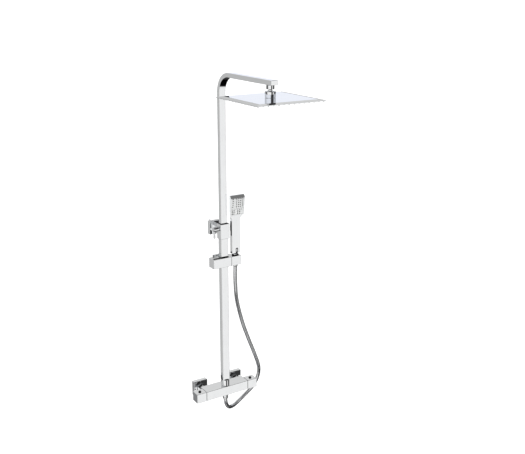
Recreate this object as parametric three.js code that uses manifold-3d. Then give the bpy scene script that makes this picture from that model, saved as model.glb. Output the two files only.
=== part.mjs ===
// A square thermostatic shower column: bar mixer valve on two wall inlets, telescopic riser with
// an overhead arm and rain head, wall bracket with a lever lock, slider, handset and metal hose.
// Millimetres, +Z up. The origin is on the wall, midway between the two inlets. The wall is y = 0
// and the column stands in front of it, towards -Y. Every mesh is one closed solid.
import * as THREE from "three";
import { mergeVertices } from "three/addons/utils/BufferGeometryUtils.js";
import Module from "manifold-3d";

const wasm = await Module();
wasm.setup();

// ---------------------------------------------------------------- driving dimensions

const GAP = 0.3; // between pieces that touch
const AXIS_Y = -76; // valve, riser and slider axis, from the wall
const INLET_CENTRES = 150;
const ROUND = 28; // facets of a large turned piece
const ROUND_SMALL = 16;

const VALVE = {
  section: 36,
  half: 89.5,
  back: -42,
  bore: 11,
  endBore: 14.6,
  endBoreDepth: 12,
  edge: 0.9,
};
const CARTRIDGE = { from: 26, nose: 8, seal: 10.4, neck: 8, neckEnd: 95.5, stem: 4.2, stemEnd: 116.5 };
const KNOB = { inner: 90.5, outer: 130.5, cavity: 12.5, cavityDepth: 30, hub: 7, hubFrom: 99.5, hubTo: 124.5 };
const BUTTON = { x: 110.5, radius: 5, hole: 5.4, top: 21.6, foot: 6.6, footBottom: 10.4, footTop: 14.6 };
const INLET = { stub: 12, collar: 13, bore: 7, stubEnd: -33, collarFrom: -37.5 };
const FLANGE = { side: 58, depth: 17, wall: 2, edge: 1.6, hole: 13.8 };
const UNION = {
  tail: 10.3,
  tailFrom: -6,
  tailEnd: 16,
  tailBore: 5.5,
  offset: 6,
  body: 13,
  front: -30,
  back: -4,
  bore: 7.5,
  boreBack: -8,
};
const INLET_NUT = { outer: 17, front: -41.6, back: -20, lip: 4, bore: 13.4, lipBore: 12.4 };
const STRAINER = { radius: 12.4, bore: 6 };
const OUTLET = { radius: 9, length: 14, bore: 5.5, seat: 8, seatDepth: 6 };
const SPIGOT = { radius: 12, height: 13, bore: 7 };

const LOWER = { width: 30, depth: 19, wall: 1.5, corner: 1.6, bottom: 43.4, top: 640 };
const UPPER = { width: 25.5, depth: 15.5, wall: 1.3, edge: 1.2, bottom: 330 };
const ARM = { top: 1206, end: -414, radius: 75.5, capDepth: 3, capSpigot: 11 };
const SEAL = { play: 0.8, corner: 0.8, upperFrom: -3.4, upperTo: -0.3, lowerFrom: -12, lowerTo: -8.6 };
const DRAIN_RADIUS = 8.4; // of the hole in the arm over the rain head
const PLUG = { from: -9, to: 14, bore: 4.5, corner: 0.6 };
const FOOT_NUT = { radius: 16, bottom: 18.4, top: 43, bore: 12.5, lipZ: 38.8, lipBore: 9.9, chamfer: 1.6 };
const FOOT = { neck: 7.6, collar: 11.8, collarBottom: 33, collarTop: 38.4, plugTop: 74, bore: 6 };
const FOOT_WASHER = { radius: 11.4, bottom: 31.4 };

const BRACKET = {
  z: 633,
  plateWidth: 44,
  plateHeight: 50,
  plateDepth: 16,
  plateWall: 2.5,
  neckWidth: 22,
  neckHeight: 26,
  fixingWidth: 32,
  fixingHeight: 44,
  fixingDepth: 4,
  screwSpacing: 36,
};
const WALL_SCREW = { radius: 2.2, hole: 2.6, length: 30, head: 4.2, headFront: -7.2, headBack: -4.3 };
const COLLAR = { width: 37, front: -91, back: -63.6, bottom: 607, top: 663, edge: 1.2, play: 0.5 };
const LEVER = {
  z: 645,
  hubRadius: 8.5,
  hubIn: -19.2,
  hubOut: -41,
  pinX: -35.8,
  pinRadius: 3.6,
  pinEnd: 611,
  stemRadius: 3.9,
  stemEnd: -13.6,
};

const SLIDER = { left: -51, seam: 23.4, front: -95, back: -58.5, z: 518.5, height: 35.3, edge: 1 };
const POCKET = { wall: 3, right: 14, back: -79, depth: 7 };
const GUIDE = { lining: 5, play: 0.8 };
const BRAKE = { left: -33, right: 21, depth: 6.5, rise: 6 };
const SLIDER_SCREW = { head: 3.6, x: [["left", -26], ["right", 15]] };
const PIVOT = { radius: 6, length: 7 };
const HOLDER = { left: 23.9, right: 63.6, axisY: -82, boreTop: 10.9, boreBottom: 9.6 };
const HANDSET = {
  x: 46,
  width: 35.5,
  front: -91,
  back: -77,
  bottom: 546,
  neckBottom: 677,
  neckTop: 690,
  headWidth: 58,
  headBottom: 691,
  headTop: 767,
  headBack: -86,
  backCut: 8,
  lean: 8,
  faceRise: 7.5,
  cavityDepth: 7,
};
const HANDSET_INLET = { radius: 8.6, neck: 6.6, length: 18, bore: 3.4 };

const BALL = { y: -390, z: 1163, radius: 11, nutRadius: 13, nutTop: 1189.9, nutBottom: 1177, waist: 6, bore: 3.5 };
const CUP = { radius: 17.3, top: 1171, bottom: 1154.6, pocket: 13.6, socketBore: 14.4, socketTop: -4 };
const BALL_SEAT = { inner: 11.3, outer: 13.2, low: -5, high: 26 };
const BALL_SEAL = { radius: 13.8, inner: 9, outer: 11.4, top: -4.6, thick: 2.6 };
const HEAD = {
  side: 250,
  rimBottom: 1144.6,
  rimTop: 1147.8,
  top: 1150.6,
  bevel: 17,
  rimWidth: 5,
  faceThick: 1.2,
  matInset: 8,
  matThick: 1.3,
  socket: 14,
  socketBore: 8.4,
  inletBore: 5,
};

// The hose leaves the valve's bottom outlet, swings back and round in one loop, and climbs to the
// handset. Points by hand, from the top end down, in millimetres.
const HOSE_RADIUS = 7;
const HOSE_NUT = { bore: 5, waterBore: 4.6, washer: 8.5, washerThick: 1.1, foot: 8.4, radius: 10.6, neck: 9.9 };
const HOSE_CONE = { foot: 7.4, low: 8.6, high: 10.3, mouth: 9.7, bore: 8.9, top: -2.6 };
const HOSE_ROUTE = [
  [46, -82, 493],
  [46, -81.8, 484],
  [46.6, -79.8, 464],
  [48.6, -76, 440],
  [52.6, -70.6, 409],
  [58.6, -64, 372],
  [66.8, -57.6, 338],
  [77, -52.4, 303],
  [88, -49, 267],
  [101, -47, 227],
  [115, -46.4, 189],
  [129, -46.5, 152],
  [143, -46.2, 117],
  [155, -45.3, 86],
  [166.5, -42.7, 56],
  [174.6, -38, 30],
  [177.4, -32, 4],
  [174.6, -25, -22],
  [166.4, -18.9, -46],
  [153.4, -14.4, -66],
  [135, -12, -82],
  [113, -14, -94.6],
  [92, -20, -102.2],
  [72, -29, -105.5],
  [53, -39.5, -104.5],
  [37.5, -50, -99.5],
  [24, -59.4, -91.5],
  [13.5, -66.8, -80.5],
  [6, -71.8, -67.5],
  [1.6, -75, -54],
  [0, -76, -44],
  [0, -76, -39.5],
];

// ---------------------------------------------------------------- materials

const finish = (color, roughness, metalness) => () =>
  new THREE.MeshStandardMaterial({ color, roughness, metalness });
const chrome = finish(0xd9dcdd, 0.06, 1);
const steel = finish(0xb9bcbe, 0.3, 1);
const brass = finish(0xb8964f, 0.3, 1);
const blackPlastic = finish(0x1b1c1e, 0.4, 0);
const greyPlastic = finish(0xd4d8da, 0.35, 0);
const rubber = finish(0x2a2a2b, 0.8, 0);
const silicone = finish(0x9ea3a6, 0.6, 0);

// ---------------------------------------------------------------- solids

// A three.js geometry as a manifold-3d solid.
function solid(geometry) {
  const g = geometry.index ? geometry.toNonIndexed() : geometry.clone();
  g.deleteAttribute("normal");
  g.deleteAttribute("uv");
  const merged = mergeVertices(g, 1e-4);
  return new wasm.Manifold(
    new wasm.Mesh({
      numProp: 3,
      vertProperties: merged.attributes.position.array,
      triVerts: new Uint32Array(merged.index.array),
    }),
  );
}

// A manifold-3d solid as a three.js geometry.
function geometryOf(made) {
  const m = made.getMesh();
  const g = new THREE.BufferGeometry();
  g.setAttribute("position", new THREE.BufferAttribute(new Float32Array(m.vertProperties), 3));
  g.setIndex(new THREE.BufferAttribute(new Uint32Array(m.triVerts), 1));
  g.computeVertexNormals();
  return g;
}

// A rectangle with round corners, centred on the origin of its own plane.
function roundedRect(width, height, corner) {
  const s = new THREE.Shape();
  const w = width / 2;
  const h = height / 2;
  s.moveTo(-w + corner, -h);
  s.lineTo(w - corner, -h);
  s.absarc(w - corner, -h + corner, corner, -Math.PI / 2, 0, false);
  s.lineTo(w, h - corner);
  s.absarc(w - corner, h - corner, corner, 0, Math.PI / 2, false);
  s.lineTo(-w + corner, h);
  s.absarc(-w + corner, h - corner, corner, Math.PI / 2, Math.PI, false);
  s.lineTo(-w, -h + corner);
  s.absarc(-w + corner, -h + corner, corner, Math.PI, 1.5 * Math.PI, false);
  return s;
}

// A box between two corners, its edges cut back by a chamfer where one is given.
function box(x, y, z, edge = 0) {
  const size = [x[1] - x[0], y[1] - y[0], z[1] - z[0]];
  const centre = [(x[0] + x[1]) / 2, (y[0] + y[1]) / 2, (z[0] + z[1]) / 2];
  if (!edge) return solid(new THREE.BoxGeometry(...size).translate(...centre));
  const face = new THREE.Shape();
  const w = size[0] / 2 - edge;
  const h = size[1] / 2 - edge;
  face.moveTo(-w, -h);
  face.lineTo(w, -h);
  face.lineTo(w, h);
  face.lineTo(-w, h);
  const g = new THREE.ExtrudeGeometry(face, {
    depth: size[2] - 2 * edge,
    bevelEnabled: true,
    bevelThickness: edge,
    bevelSize: edge,
    bevelSegments: 1,
    curveSegments: 1,
  });
  return solid(g.translate(centre[0], centre[1], z[0] + edge));
}

// An outline in the XY plane raised between two heights.
function prism(shape, z, segments = 3) {
  const g = new THREE.ExtrudeGeometry(shape, {
    depth: z[1] - z[0],
    bevelEnabled: false,
    curveSegments: segments,
  });
  return solid(g.translate(0, 0, z[0]));
}

// A turned piece on +Z through (x, y): [radius, z] points from the lower axis point to the upper.
function turned(profile, x, y, facets = ROUND) {
  const points = profile.map(([r, z]) => new THREE.Vector2(r, z));
  const g = new THREE.LatheGeometry(points, facets).rotateX(Math.PI / 2);
  return solid(g.translate(x, y, 0));
}

const rod = (radius, z, x, y, facets = ROUND) =>
  turned([[0, z[0]], [radius, z[0]], [radius, z[1]], [0, z[1]]], x, y, facets);

// The same turned piece laid along +X or +Y: its own z becomes the distance along that axis.
const alongX = (made, y, z) => made.rotate([0, 90, 0]).translate([0, y, z]);
const alongY = (made, x, z) => made.rotate([-90, 0, 0]).translate([x, 0, z]);
const rodX = (radius, x, y, z, facets = ROUND) => alongX(rod(radius, x, 0, 0, facets), y, z);
const rodY = (radius, y, x, z, facets = ROUND) => alongY(rod(radius, y, 0, 0, facets), x, z);
const mirrorX = (made) => made.mirror([1, 0, 0]);

// ---------------------------------------------------------------- the assembly

const column = new THREE.Group();

function part(name, made, material) {
  const mesh = new THREE.Mesh(geometryOf(made), material());
  mesh.name = name;
  column.add(mesh);
}

// Left and right copies of a piece drawn for the right side.
function pair(name, made, material) {
  part(name + "_right", made, material);
  part(name + "_left", mirrorX(made), material);
}

// ---------------------------------------------------------------- mixer valve

function valve() {
  const half = VALVE.section / 2;
  const inletX = INLET_CENTRES / 2;
  let body = box(
    [-VALVE.half, VALVE.half],
    [AXIS_Y - half, VALVE.back],
    [-half, half],
    VALVE.edge,
  );
  for (const side of [-1, 1]) {
    body = body.add(rodY(INLET.stub, [VALVE.back - 2, INLET.stubEnd], side * inletX, 0));
    body = body.add(rodY(INLET.collar, [INLET.collarFrom, INLET.stubEnd], side * inletX, 0));
  }
  body = body.add(rod(SPIGOT.radius, [half - 2, half + SPIGOT.height], 0, AXIS_Y));
  body = body.subtract(rodX(VALVE.bore, [-VALVE.half - 1, VALVE.half + 1], AXIS_Y, 0));
  for (const side of [-1, 1]) {
    const end = side * (VALVE.half + 1);
    const inner = side * (VALVE.half - VALVE.endBoreDepth);
    const span = side < 0 ? [end, inner] : [inner, end];
    body = body.subtract(rodX(VALVE.endBore, span, AXIS_Y, 0));
    body = body.subtract(rodY(INLET.bore, [AXIS_Y, INLET.stubEnd + 1], side * inletX, 0));
  }
  body = body.subtract(rod(SPIGOT.bore, [0, half + SPIGOT.height + 1], 0, AXIS_Y));
  body = body.subtract(rod(OUTLET.seat, [-half - 1, 0], 0, AXIS_Y, ROUND_SMALL));
  part("valve_body", body, chrome);

  // A threaded nipple in the bottom of the body, for the hose.
  const end = -half - OUTLET.length;
  const inside = -half + OUTLET.seatDepth;
  const nipple = rod(OUTLET.seat - GAP, [-half - 1, inside], 0, AXIS_Y, ROUND_SMALL)
    .add(rod(OUTLET.radius, [end, -half - GAP], 0, AXIS_Y, ROUND_SMALL))
    .subtract(rod(OUTLET.bore, [end - 1, inside + 1], 0, AXIS_Y, ROUND_SMALL));
  part("bottom_outlet_nipple", nipple, chrome);
}

function cartridges() {
  const head = VALVE.half - VALVE.endBoreDepth;
  const { from, nose, seal, neck, neckEnd, stem, stemEnd } = CARTRIDGE;
  const shoulder = 2; // length of each slope between two diameters
  const body = turned(
    [
      [0, from],
      [nose, from],
      [nose, from + 4 * shoulder],
      [seal, from + 5 * shoulder],
      [seal, head - 0.5],
      [neck, head + 0.5],
      [neck, neckEnd],
      [stem, neckEnd + shoulder],
      [stem, stemEnd],
      [0, stemEnd],
    ],
    0,
    0,
    ROUND_SMALL,
  );
  const cartridge = alongX(body, AXIS_Y, 0);
  part("thermostatic_cartridge", cartridge, brass);
  part("diverter_cartridge", mirrorX(cartridge), blackPlastic);
  // The gland nut that holds each cartridge in its bore.
  const nut = rodX(VALVE.endBore - 0.4, [head + 1, VALVE.half - 0.4], AXIS_Y, 0).subtract(
    rodX(neck + 0.4, [head, VALVE.half + 1], AXIS_Y, 0, ROUND_SMALL),
  );
  pair("cartridge_nut", nut, brass);
}

function knobs() {
  const half = VALVE.section / 2;
  const shell = box(
    [KNOB.inner, KNOB.outer],
    [AXIS_Y - half, AXIS_Y + half],
    [-half, half],
    VALVE.edge,
  );
  const cavity = rodX(KNOB.cavity, [KNOB.inner - 1, KNOB.inner + KNOB.cavityDepth], AXIS_Y, 0);
  const hub = rodX(KNOB.hub, [KNOB.hubFrom, KNOB.hubTo], AXIS_Y, 0, ROUND_SMALL);
  const bore = rodX(CARTRIDGE.stem + GAP, [KNOB.inner, CARTRIDGE.stemEnd + 1], AXIS_Y, 0, ROUND_SMALL);
  const hole = rod(BUTTON.hole, [BUTTON.footBottom, half + 1], BUTTON.x, AXIS_Y, ROUND_SMALL);
  const seatZ = [BUTTON.footBottom - 2, BUTTON.footTop + 0.4];
  const seat = rod(BUTTON.foot + 0.5, seatZ, BUTTON.x, AXIS_Y, ROUND_SMALL);
  const knob = shell.subtract(cavity).add(hub).subtract(bore).subtract(hole).subtract(seat);
  part("temperature_knob", knob, chrome);
  part("flow_knob", mirrorX(knob), chrome);

  // The safety stop button in the top of each knob, with a wider foot that keeps it in.
  const button = turned(
    [
      [0, BUTTON.footBottom],
      [BUTTON.foot, BUTTON.footBottom],
      [BUTTON.foot, BUTTON.footTop],
      [BUTTON.radius, BUTTON.footTop],
      [BUTTON.radius, BUTTON.top - 0.5],
      [BUTTON.radius - 0.7, BUTTON.top],
      [0, BUTTON.top],
    ],
    BUTTON.x,
    AXIS_Y,
    ROUND_SMALL,
  );
  part("temperature_stop_button", button, blackPlastic);
  part("flow_stop_button", mirrorX(button), blackPlastic);
}

// ---------------------------------------------------------------- wall inlets

function inlets() {
  const x = INLET_CENTRES / 2;
  const half = FLANGE.side / 2;
  const flange = box([x - half, x + half], [-FLANGE.depth, 0], [-half, half], FLANGE.edge)
    .add(box([x - half, x + half], [-FLANGE.depth / 2, 0], [-half, half]))
    .subtract(
      box(
        [x - half + FLANGE.wall, x + half - FLANGE.wall],
        [-FLANGE.depth + FLANGE.wall, 1],
        [-half + FLANGE.wall, half - FLANGE.wall],
      ),
    )
    .subtract(rodY(FLANGE.hole, [-FLANGE.depth - 1, 1], x, 0));
  pair("wall_flange", flange, chrome);

  const union = rodY(UNION.body, [UNION.front, UNION.back], x, 0)
    .add(rodY(UNION.tail, [UNION.tailFrom, UNION.tailEnd], x, UNION.offset))
    .subtract(rodY(UNION.bore, [UNION.front - 1, UNION.boreBack], x, 0))
    .subtract(rodY(UNION.tailBore, [UNION.boreBack - 4, UNION.tailEnd + 1], x, UNION.offset, ROUND_SMALL));
  pair("eccentric_union", union, steel);

  // The nut that draws the union onto the valve's inlet, captive behind the inlet's collar.
  const hex = rodY(INLET_NUT.outer, [INLET_NUT.front, INLET_NUT.back], x, 0, 6);
  const crown = rodY(INLET_NUT.outer - 0.8, [INLET_NUT.front - 1, INLET_NUT.back + 1], x, 0);
  const nut = hex
    .intersect(crown)
    .subtract(rodY(INLET_NUT.bore, [INLET_NUT.front + INLET_NUT.lip, 0], x, 0))
    .subtract(rodY(INLET_NUT.lipBore, [INLET_NUT.front - 2, 0], x, 0));
  pair("inlet_union_nut", nut, chrome);

  const strainer = rodY(STRAINER.radius, [INLET.stubEnd + GAP, UNION.front - GAP], x, 0, ROUND_SMALL)
    .subtract(rodY(STRAINER.bore, [INLET.stubEnd, UNION.front], x, 0, ROUND_SMALL));
  pair("inlet_filter_washer", strainer, rubber);
}

// ---------------------------------------------------------------- riser

function riserFoot() {
  const nut = turned(
    [
      [0, FOOT_NUT.bottom],
      [FOOT_NUT.radius - FOOT_NUT.chamfer, FOOT_NUT.bottom],
      [FOOT_NUT.radius, FOOT_NUT.bottom + FOOT_NUT.chamfer],
      [FOOT_NUT.radius, FOOT_NUT.top - FOOT_NUT.chamfer],
      [FOOT_NUT.radius - FOOT_NUT.chamfer, FOOT_NUT.top],
      [0, FOOT_NUT.top],
    ],
    0,
    AXIS_Y,
  )
    .subtract(rod(FOOT_NUT.bore, [FOOT_NUT.bottom - 1, FOOT_NUT.lipZ], 0, AXIS_Y))
    .subtract(rod(FOOT_NUT.lipBore, [FOOT_NUT.lipZ - 1, FOOT_NUT.top + 1], 0, AXIS_Y));
  part("riser_union_nut", nut, chrome);

  // The spigot in the riser's foot, held down by the nut.
  const inner = roundedRect(
    LOWER.width - 2 * LOWER.wall - 2 * GAP,
    LOWER.depth - 2 * LOWER.wall - 2 * GAP,
    LOWER.corner,
  );
  const plugBottom = LOWER.bottom + 1;
  const spigot = prism(inner, [plugBottom, FOOT.plugTop])
    .translate([0, AXIS_Y, 0])
    .add(rod(FOOT.neck, [FOOT.collarTop - 1, plugBottom + 1], 0, AXIS_Y))
    .add(rod(FOOT.collar, [FOOT.collarBottom, FOOT.collarTop], 0, AXIS_Y))
    .subtract(rod(FOOT.bore, [FOOT.collarBottom - 1, FOOT.plugTop + 1], 0, AXIS_Y, ROUND_SMALL));
  part("riser_foot_spigot", spigot, brass);

  const { radius, bottom } = FOOT_WASHER;
  const washer = rod(radius, [bottom, FOOT.collarBottom - GAP], 0, AXIS_Y, ROUND_SMALL).subtract(
    rod(FOOT.bore, [bottom - 1, FOOT.collarBottom], 0, AXIS_Y, ROUND_SMALL),
  );
  part("riser_foot_washer", washer, rubber);
}

function lowerTube() {
  const outer = roundedRect(LOWER.width, LOWER.depth, LOWER.corner);
  const inside = { width: LOWER.width - 2 * LOWER.wall, depth: LOWER.depth - 2 * LOWER.wall, corner: 0.6 };
  const inner = roundedRect(inside.width, inside.depth, inside.corner);
  const tube = prism(outer, [LOWER.bottom, LOWER.top]).subtract(
    prism(inner, [LOWER.bottom - 1, LOWER.top + 1]),
  );
  part("lower_tube", tube.translate([0, AXIS_Y, 0]), chrome);
}

// The upper tube's side outline in the YZ plane, inset by a margin: upright, bend, then arm.
function armOutline(margin, overrun) {
  const back = AXIS_Y + UPPER.depth / 2 - margin;
  const front = AXIS_Y - UPPER.depth / 2 + margin;
  const top = ARM.top - margin;
  const under = ARM.top - UPPER.depth + margin;
  const centreY = AXIS_Y + UPPER.depth / 2 - ARM.radius;
  const centreZ = ARM.top - ARM.radius;
  const outer = ARM.radius - margin;
  const inner = ARM.radius - UPPER.depth + margin;
  const bottom = UPPER.bottom + margin - overrun;
  const end = ARM.end + ARM.capDepth + GAP + margin - overrun;
  const s = new THREE.Shape();
  s.moveTo(back, bottom);
  s.lineTo(back, centreZ);
  s.absarc(centreY, centreZ, outer, 0, Math.PI / 2, false);
  s.lineTo(end, top);
  s.lineTo(end, under);
  s.lineTo(centreY, under);
  s.absarc(centreY, centreZ, inner, Math.PI / 2, 0, true);
  s.lineTo(front, bottom);
  return s;
}

// A YZ outline given thickness along X, centred on x = 0, with its long edges eased.
function sideways(shape, width, edge) {
  const g = new THREE.ExtrudeGeometry(shape, {
    depth: width - 2 * edge,
    bevelEnabled: edge > 0,
    bevelThickness: edge,
    bevelSize: edge,
    bevelOffset: -edge,
    bevelSegments: 2,
    curveSegments: 14,
  });
  g.translate(0, 0, -width / 2 + edge);
  // The outline's own x, y become the part's y, z.
  const turn = new THREE.Matrix4().makeBasis(
    new THREE.Vector3(0, 1, 0),
    new THREE.Vector3(0, 0, 1),
    new THREE.Vector3(1, 0, 0),
  );
  return solid(g.applyMatrix4(turn));
}

function upperTube() {
  const hollow = sideways(armOutline(UPPER.wall, 6), UPPER.width - 2 * UPPER.wall, 0);
  const under = ARM.top - UPPER.depth;
  const drain = rod(DRAIN_RADIUS, [under - 1, under + UPPER.wall + 2], 0, BALL.y, ROUND_SMALL);
  const tube = sideways(armOutline(0, 0), UPPER.width, UPPER.edge).subtract(hollow).subtract(drain);
  part("upper_tube", tube, chrome);

  const halfWidth = UPPER.width / 2;
  const wall = UPPER.wall + GAP;
  const cap = box(
    [-halfWidth, halfWidth],
    [ARM.end, ARM.end + ARM.capDepth],
    [under, ARM.top],
    0.8,
  ).add(
    box(
      [-halfWidth + wall, halfWidth - wall],
      [ARM.end + 1, ARM.end + ARM.capSpigot],
      [under + wall, ARM.top - wall],
    ),
  );
  part("arm_end_cap", cap, chrome);

  // The plug in the upper tube's foot, with the seal between its two flanges in the lower tube.
  const bottom = UPPER.bottom;
  const inside = [LOWER.width - 2 * LOWER.wall - SEAL.play, LOWER.depth - 2 * LOWER.wall - SEAL.play];
  const lip = roundedRect(...inside, SEAL.corner);
  const core = roundedRect(UPPER.width - 2 * wall, UPPER.depth - 2 * wall, PLUG.corner);
  const plug = prism(core, [bottom + PLUG.from, bottom + PLUG.to])
    .add(prism(lip, [bottom + SEAL.upperFrom, bottom + SEAL.upperTo]))
    .add(prism(lip, [bottom + SEAL.lowerFrom, bottom + SEAL.lowerTo]))
    .translate([0, AXIS_Y, 0])
    .subtract(rod(PLUG.bore, [bottom + SEAL.lowerFrom - 1, bottom + PLUG.to + 1], 0, AXIS_Y, ROUND_SMALL));
  part("upper_tube_foot_plug", plug, blackPlastic);
  const hole = roundedRect(UPPER.width - 2 * UPPER.wall, UPPER.depth - 2 * UPPER.wall, SEAL.corner);
  const ring = prism(lip, [bottom + SEAL.lowerTo + GAP, bottom + SEAL.upperFrom - GAP]).subtract(
    prism(hole, [bottom + SEAL.lowerTo, bottom + SEAL.upperFrom]),
  );
  part("telescope_seal", ring.translate([0, AXIS_Y, 0]), rubber);
}

// ---------------------------------------------------------------- wall bracket

function bracket() {
  const { z, plateWidth, plateHeight, plateDepth, plateWall, neckWidth, neckHeight } = BRACKET;
  const w = plateWidth / 2;
  const h = plateHeight / 2;
  const plate = box([-w, w], [-plateDepth, 0], [z - h, z + h], 1)
    .add(box([-w, w], [-plateDepth / 2, 0], [z - h, z + h]))
    .subtract(
      box(
        [-w + plateWall, w - plateWall],
        [-plateDepth + plateWall, 1],
        [z - h + plateWall, z + h - plateWall],
      ),
    )
    .subtract(
      box(
        [-neckWidth / 2 - GAP, neckWidth / 2 + GAP],
        [-plateDepth - 1, 1],
        [z - neckHeight / 2 - GAP, z + neckHeight / 2 + GAP],
      ),
    );
  part("bracket_wall_cover", plate, chrome);

  // The neck comes out of the fixing plate that is screwed to the wall, and carries the collar.
  const { fixingWidth, fixingHeight, fixingDepth, screwSpacing } = BRACKET;
  let fixing = box(
    [-fixingWidth / 2, fixingWidth / 2],
    [-fixingDepth, 0],
    [z - fixingHeight / 2, z + fixingHeight / 2],
  ).add(
    box(
      [-neckWidth / 2, neckWidth / 2],
      [COLLAR.back + GAP, -fixingDepth / 2],
      [z - neckHeight / 2, z + neckHeight / 2],
      0.8,
    ),
  );
  const { radius, hole, length, head, headFront, headBack } = WALL_SCREW;
  for (const [name, screwZ] of [["upper", z + screwSpacing / 2], ["lower", z - screwSpacing / 2]]) {
    fixing = fixing.subtract(rodY(hole, [-fixingDepth - 1, 1], 0, screwZ, ROUND_SMALL));
    const screw = rodY(radius, [headFront + 1, length], 0, screwZ, ROUND_SMALL).add(
      rodY(head, [headFront, headBack], 0, screwZ, ROUND_SMALL),
    );
    part("wall_screw_" + name, screw, steel);
  }
  part("bracket_neck", fixing, chrome);
}

function collar() {
  const { width, front, back, bottom, top, edge, play } = COLLAR;
  const sleeve = box([-width / 2, width / 2], [front, back], [bottom, top], edge);
  const lowerHole = roundedRect(LOWER.width + 2 * play, LOWER.depth + 2 * play, LOWER.corner);
  const upperHole = roundedRect(UPPER.width + 2 * play, UPPER.depth + 2 * play, UPPER.edge);
  const made = sleeve
    .subtract(prism(lowerHole, [bottom - 1, LOWER.top + play]).translate([0, AXIS_Y, 0]))
    .subtract(prism(upperHole, [bottom, top + 1]).translate([0, AXIS_Y, 0]))
    .subtract(rodX(LEVER.stemRadius + play, [-width, -UPPER.width / 2], AXIS_Y, LEVER.z, ROUND_SMALL));
  part("bracket_collar", made, chrome);
}

function lockLever() {
  const { z, hubRadius, hubIn, hubOut, pinX, pinRadius, pinEnd, stemRadius, stemEnd } = LEVER;
  const length = hubIn - hubOut;
  const profile = [
    [0, 0],
    [hubRadius - 1.4, 0],
    [hubRadius, 1.4],
    [hubRadius, length - 0.8],
    [hubRadius - 0.8, length],
    [0, length],
  ];
  const hub = alongX(turned(profile, 0, 0), AXIS_Y, z).translate([hubOut, 0, 0]);
  const pin = turned(
    [
      [0, pinEnd],
      [pinRadius - 0.9, pinEnd],
      [pinRadius, pinEnd + 1.4],
      [pinRadius - 0.9, z - 3],
      [0, z - 3],
    ],
    pinX,
    AXIS_Y,
    ROUND_SMALL,
  );
  const stem = rodX(stemRadius, [hubIn - 1, stemEnd], AXIS_Y, z, ROUND_SMALL);
  part("height_lock_lever", hub.add(pin).add(stem), chrome);
}

// ---------------------------------------------------------------- slider and holder

function slider() {
  const { left, seam, front, back, z, height, edge } = SLIDER;
  const low = z - height / 2;
  const high = z + height / 2;
  const pocket = {
    x: [left + POCKET.wall, POCKET.right],
    y: [front + POCKET.wall, POCKET.back],
    floor: high - POCKET.depth,
  };
  const inset = ([from, to], gap) => [from + gap, to - gap];
  const guideSize = [LOWER.width + GUIDE.lining, LOWER.depth + GUIDE.lining];
  const guideHole = roundedRect(...guideSize, 1);
  const boss = rodX(PIVOT.radius, [seam - 1, seam + PIVOT.length], AXIS_Y, z, ROUND_SMALL);
  const body = box([left, seam], [front, back], [low, high], edge)
    .subtract(box(pocket.x, pocket.y, [pocket.floor, high + 1]))
    .subtract(prism(guideHole, [low - 1, high + 1]).translate([0, AXIS_Y, 0]))
    .add(boss);
  part("slider_body", body, chrome);

  // The plastic guide lines the slider round the tube, and its black top fills the pocket.
  const tubeHole = roundedRect(LOWER.width + GUIDE.play, LOWER.depth + GUIDE.play, LOWER.corner);
  const sleeve = roundedRect(...guideSize.map((side) => side - 2 * GAP), 1);
  const guide = prism(sleeve, [low + 0.5, high - 1])
    .translate([0, AXIS_Y, 0])
    .add(box(inset(pocket.x, GAP), inset(pocket.y, GAP), [pocket.floor + GAP, high - 1]))
    .subtract(prism(tubeHole, [low - 1, high + 1]).translate([0, AXIS_Y, 0]));
  part("slider_guide", guide, blackPlastic);

  // The brake plate behind the tube, a little taller than the block, and its two screws.
  const plateBack = back + 0.5 + BRAKE.depth;
  const plate = box([BRAKE.left, BRAKE.right], [back + 0.5, plateBack], [low + 2, high + BRAKE.rise], 0.8);
  part("slider_back_plate", plate, chrome);
  for (const [name, x] of SLIDER_SCREW.x) {
    const head = [plateBack + GAP, plateBack + GAP + 2];
    const screw = turned(
      [
        [0, head[0]],
        [SLIDER_SCREW.head, head[0]],
        [SLIDER_SCREW.head, head[1] - 0.6],
        [SLIDER_SCREW.head - 0.8, head[1]],
        [0, head[1]],
      ],
      0,
      0,
      ROUND_SMALL,
    );
    part("slider_screw_" + name, alongY(screw, x, z), steel);
  }
}

function holder() {
  const { left, right, axisY, boreTop, boreBottom } = HOLDER;
  const { front, back, z, height, edge } = SLIDER;
  const low = z - height / 2;
  const high = z + height / 2;
  const socket = turned(
    [
      [0, low - 1],
      [boreBottom, low - 1],
      [boreTop, high + 1],
      [0, high + 1],
    ],
    HANDSET.x,
    axisY,
  );
  const pivot = rodX(PIVOT.radius + 0.4, [left - 1, SLIDER.seam + PIVOT.length + 0.4], AXIS_Y, z, ROUND_SMALL);
  // The slot at the back lets the hose out when the handset is lifted off.
  const halfSlot = HOSE_RADIUS + 0.7;
  const slot = box([HANDSET.x - halfSlot, HANDSET.x + halfSlot], [axisY, back + 1], [low - 1, high + 1]);
  const block = box([left, right], [front, back], [low, high], edge)
    .subtract(pivot)
    .subtract(socket)
    .subtract(slot);
  part("handset_holder", block, chrome);
}

// ---------------------------------------------------------------- handset

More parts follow.
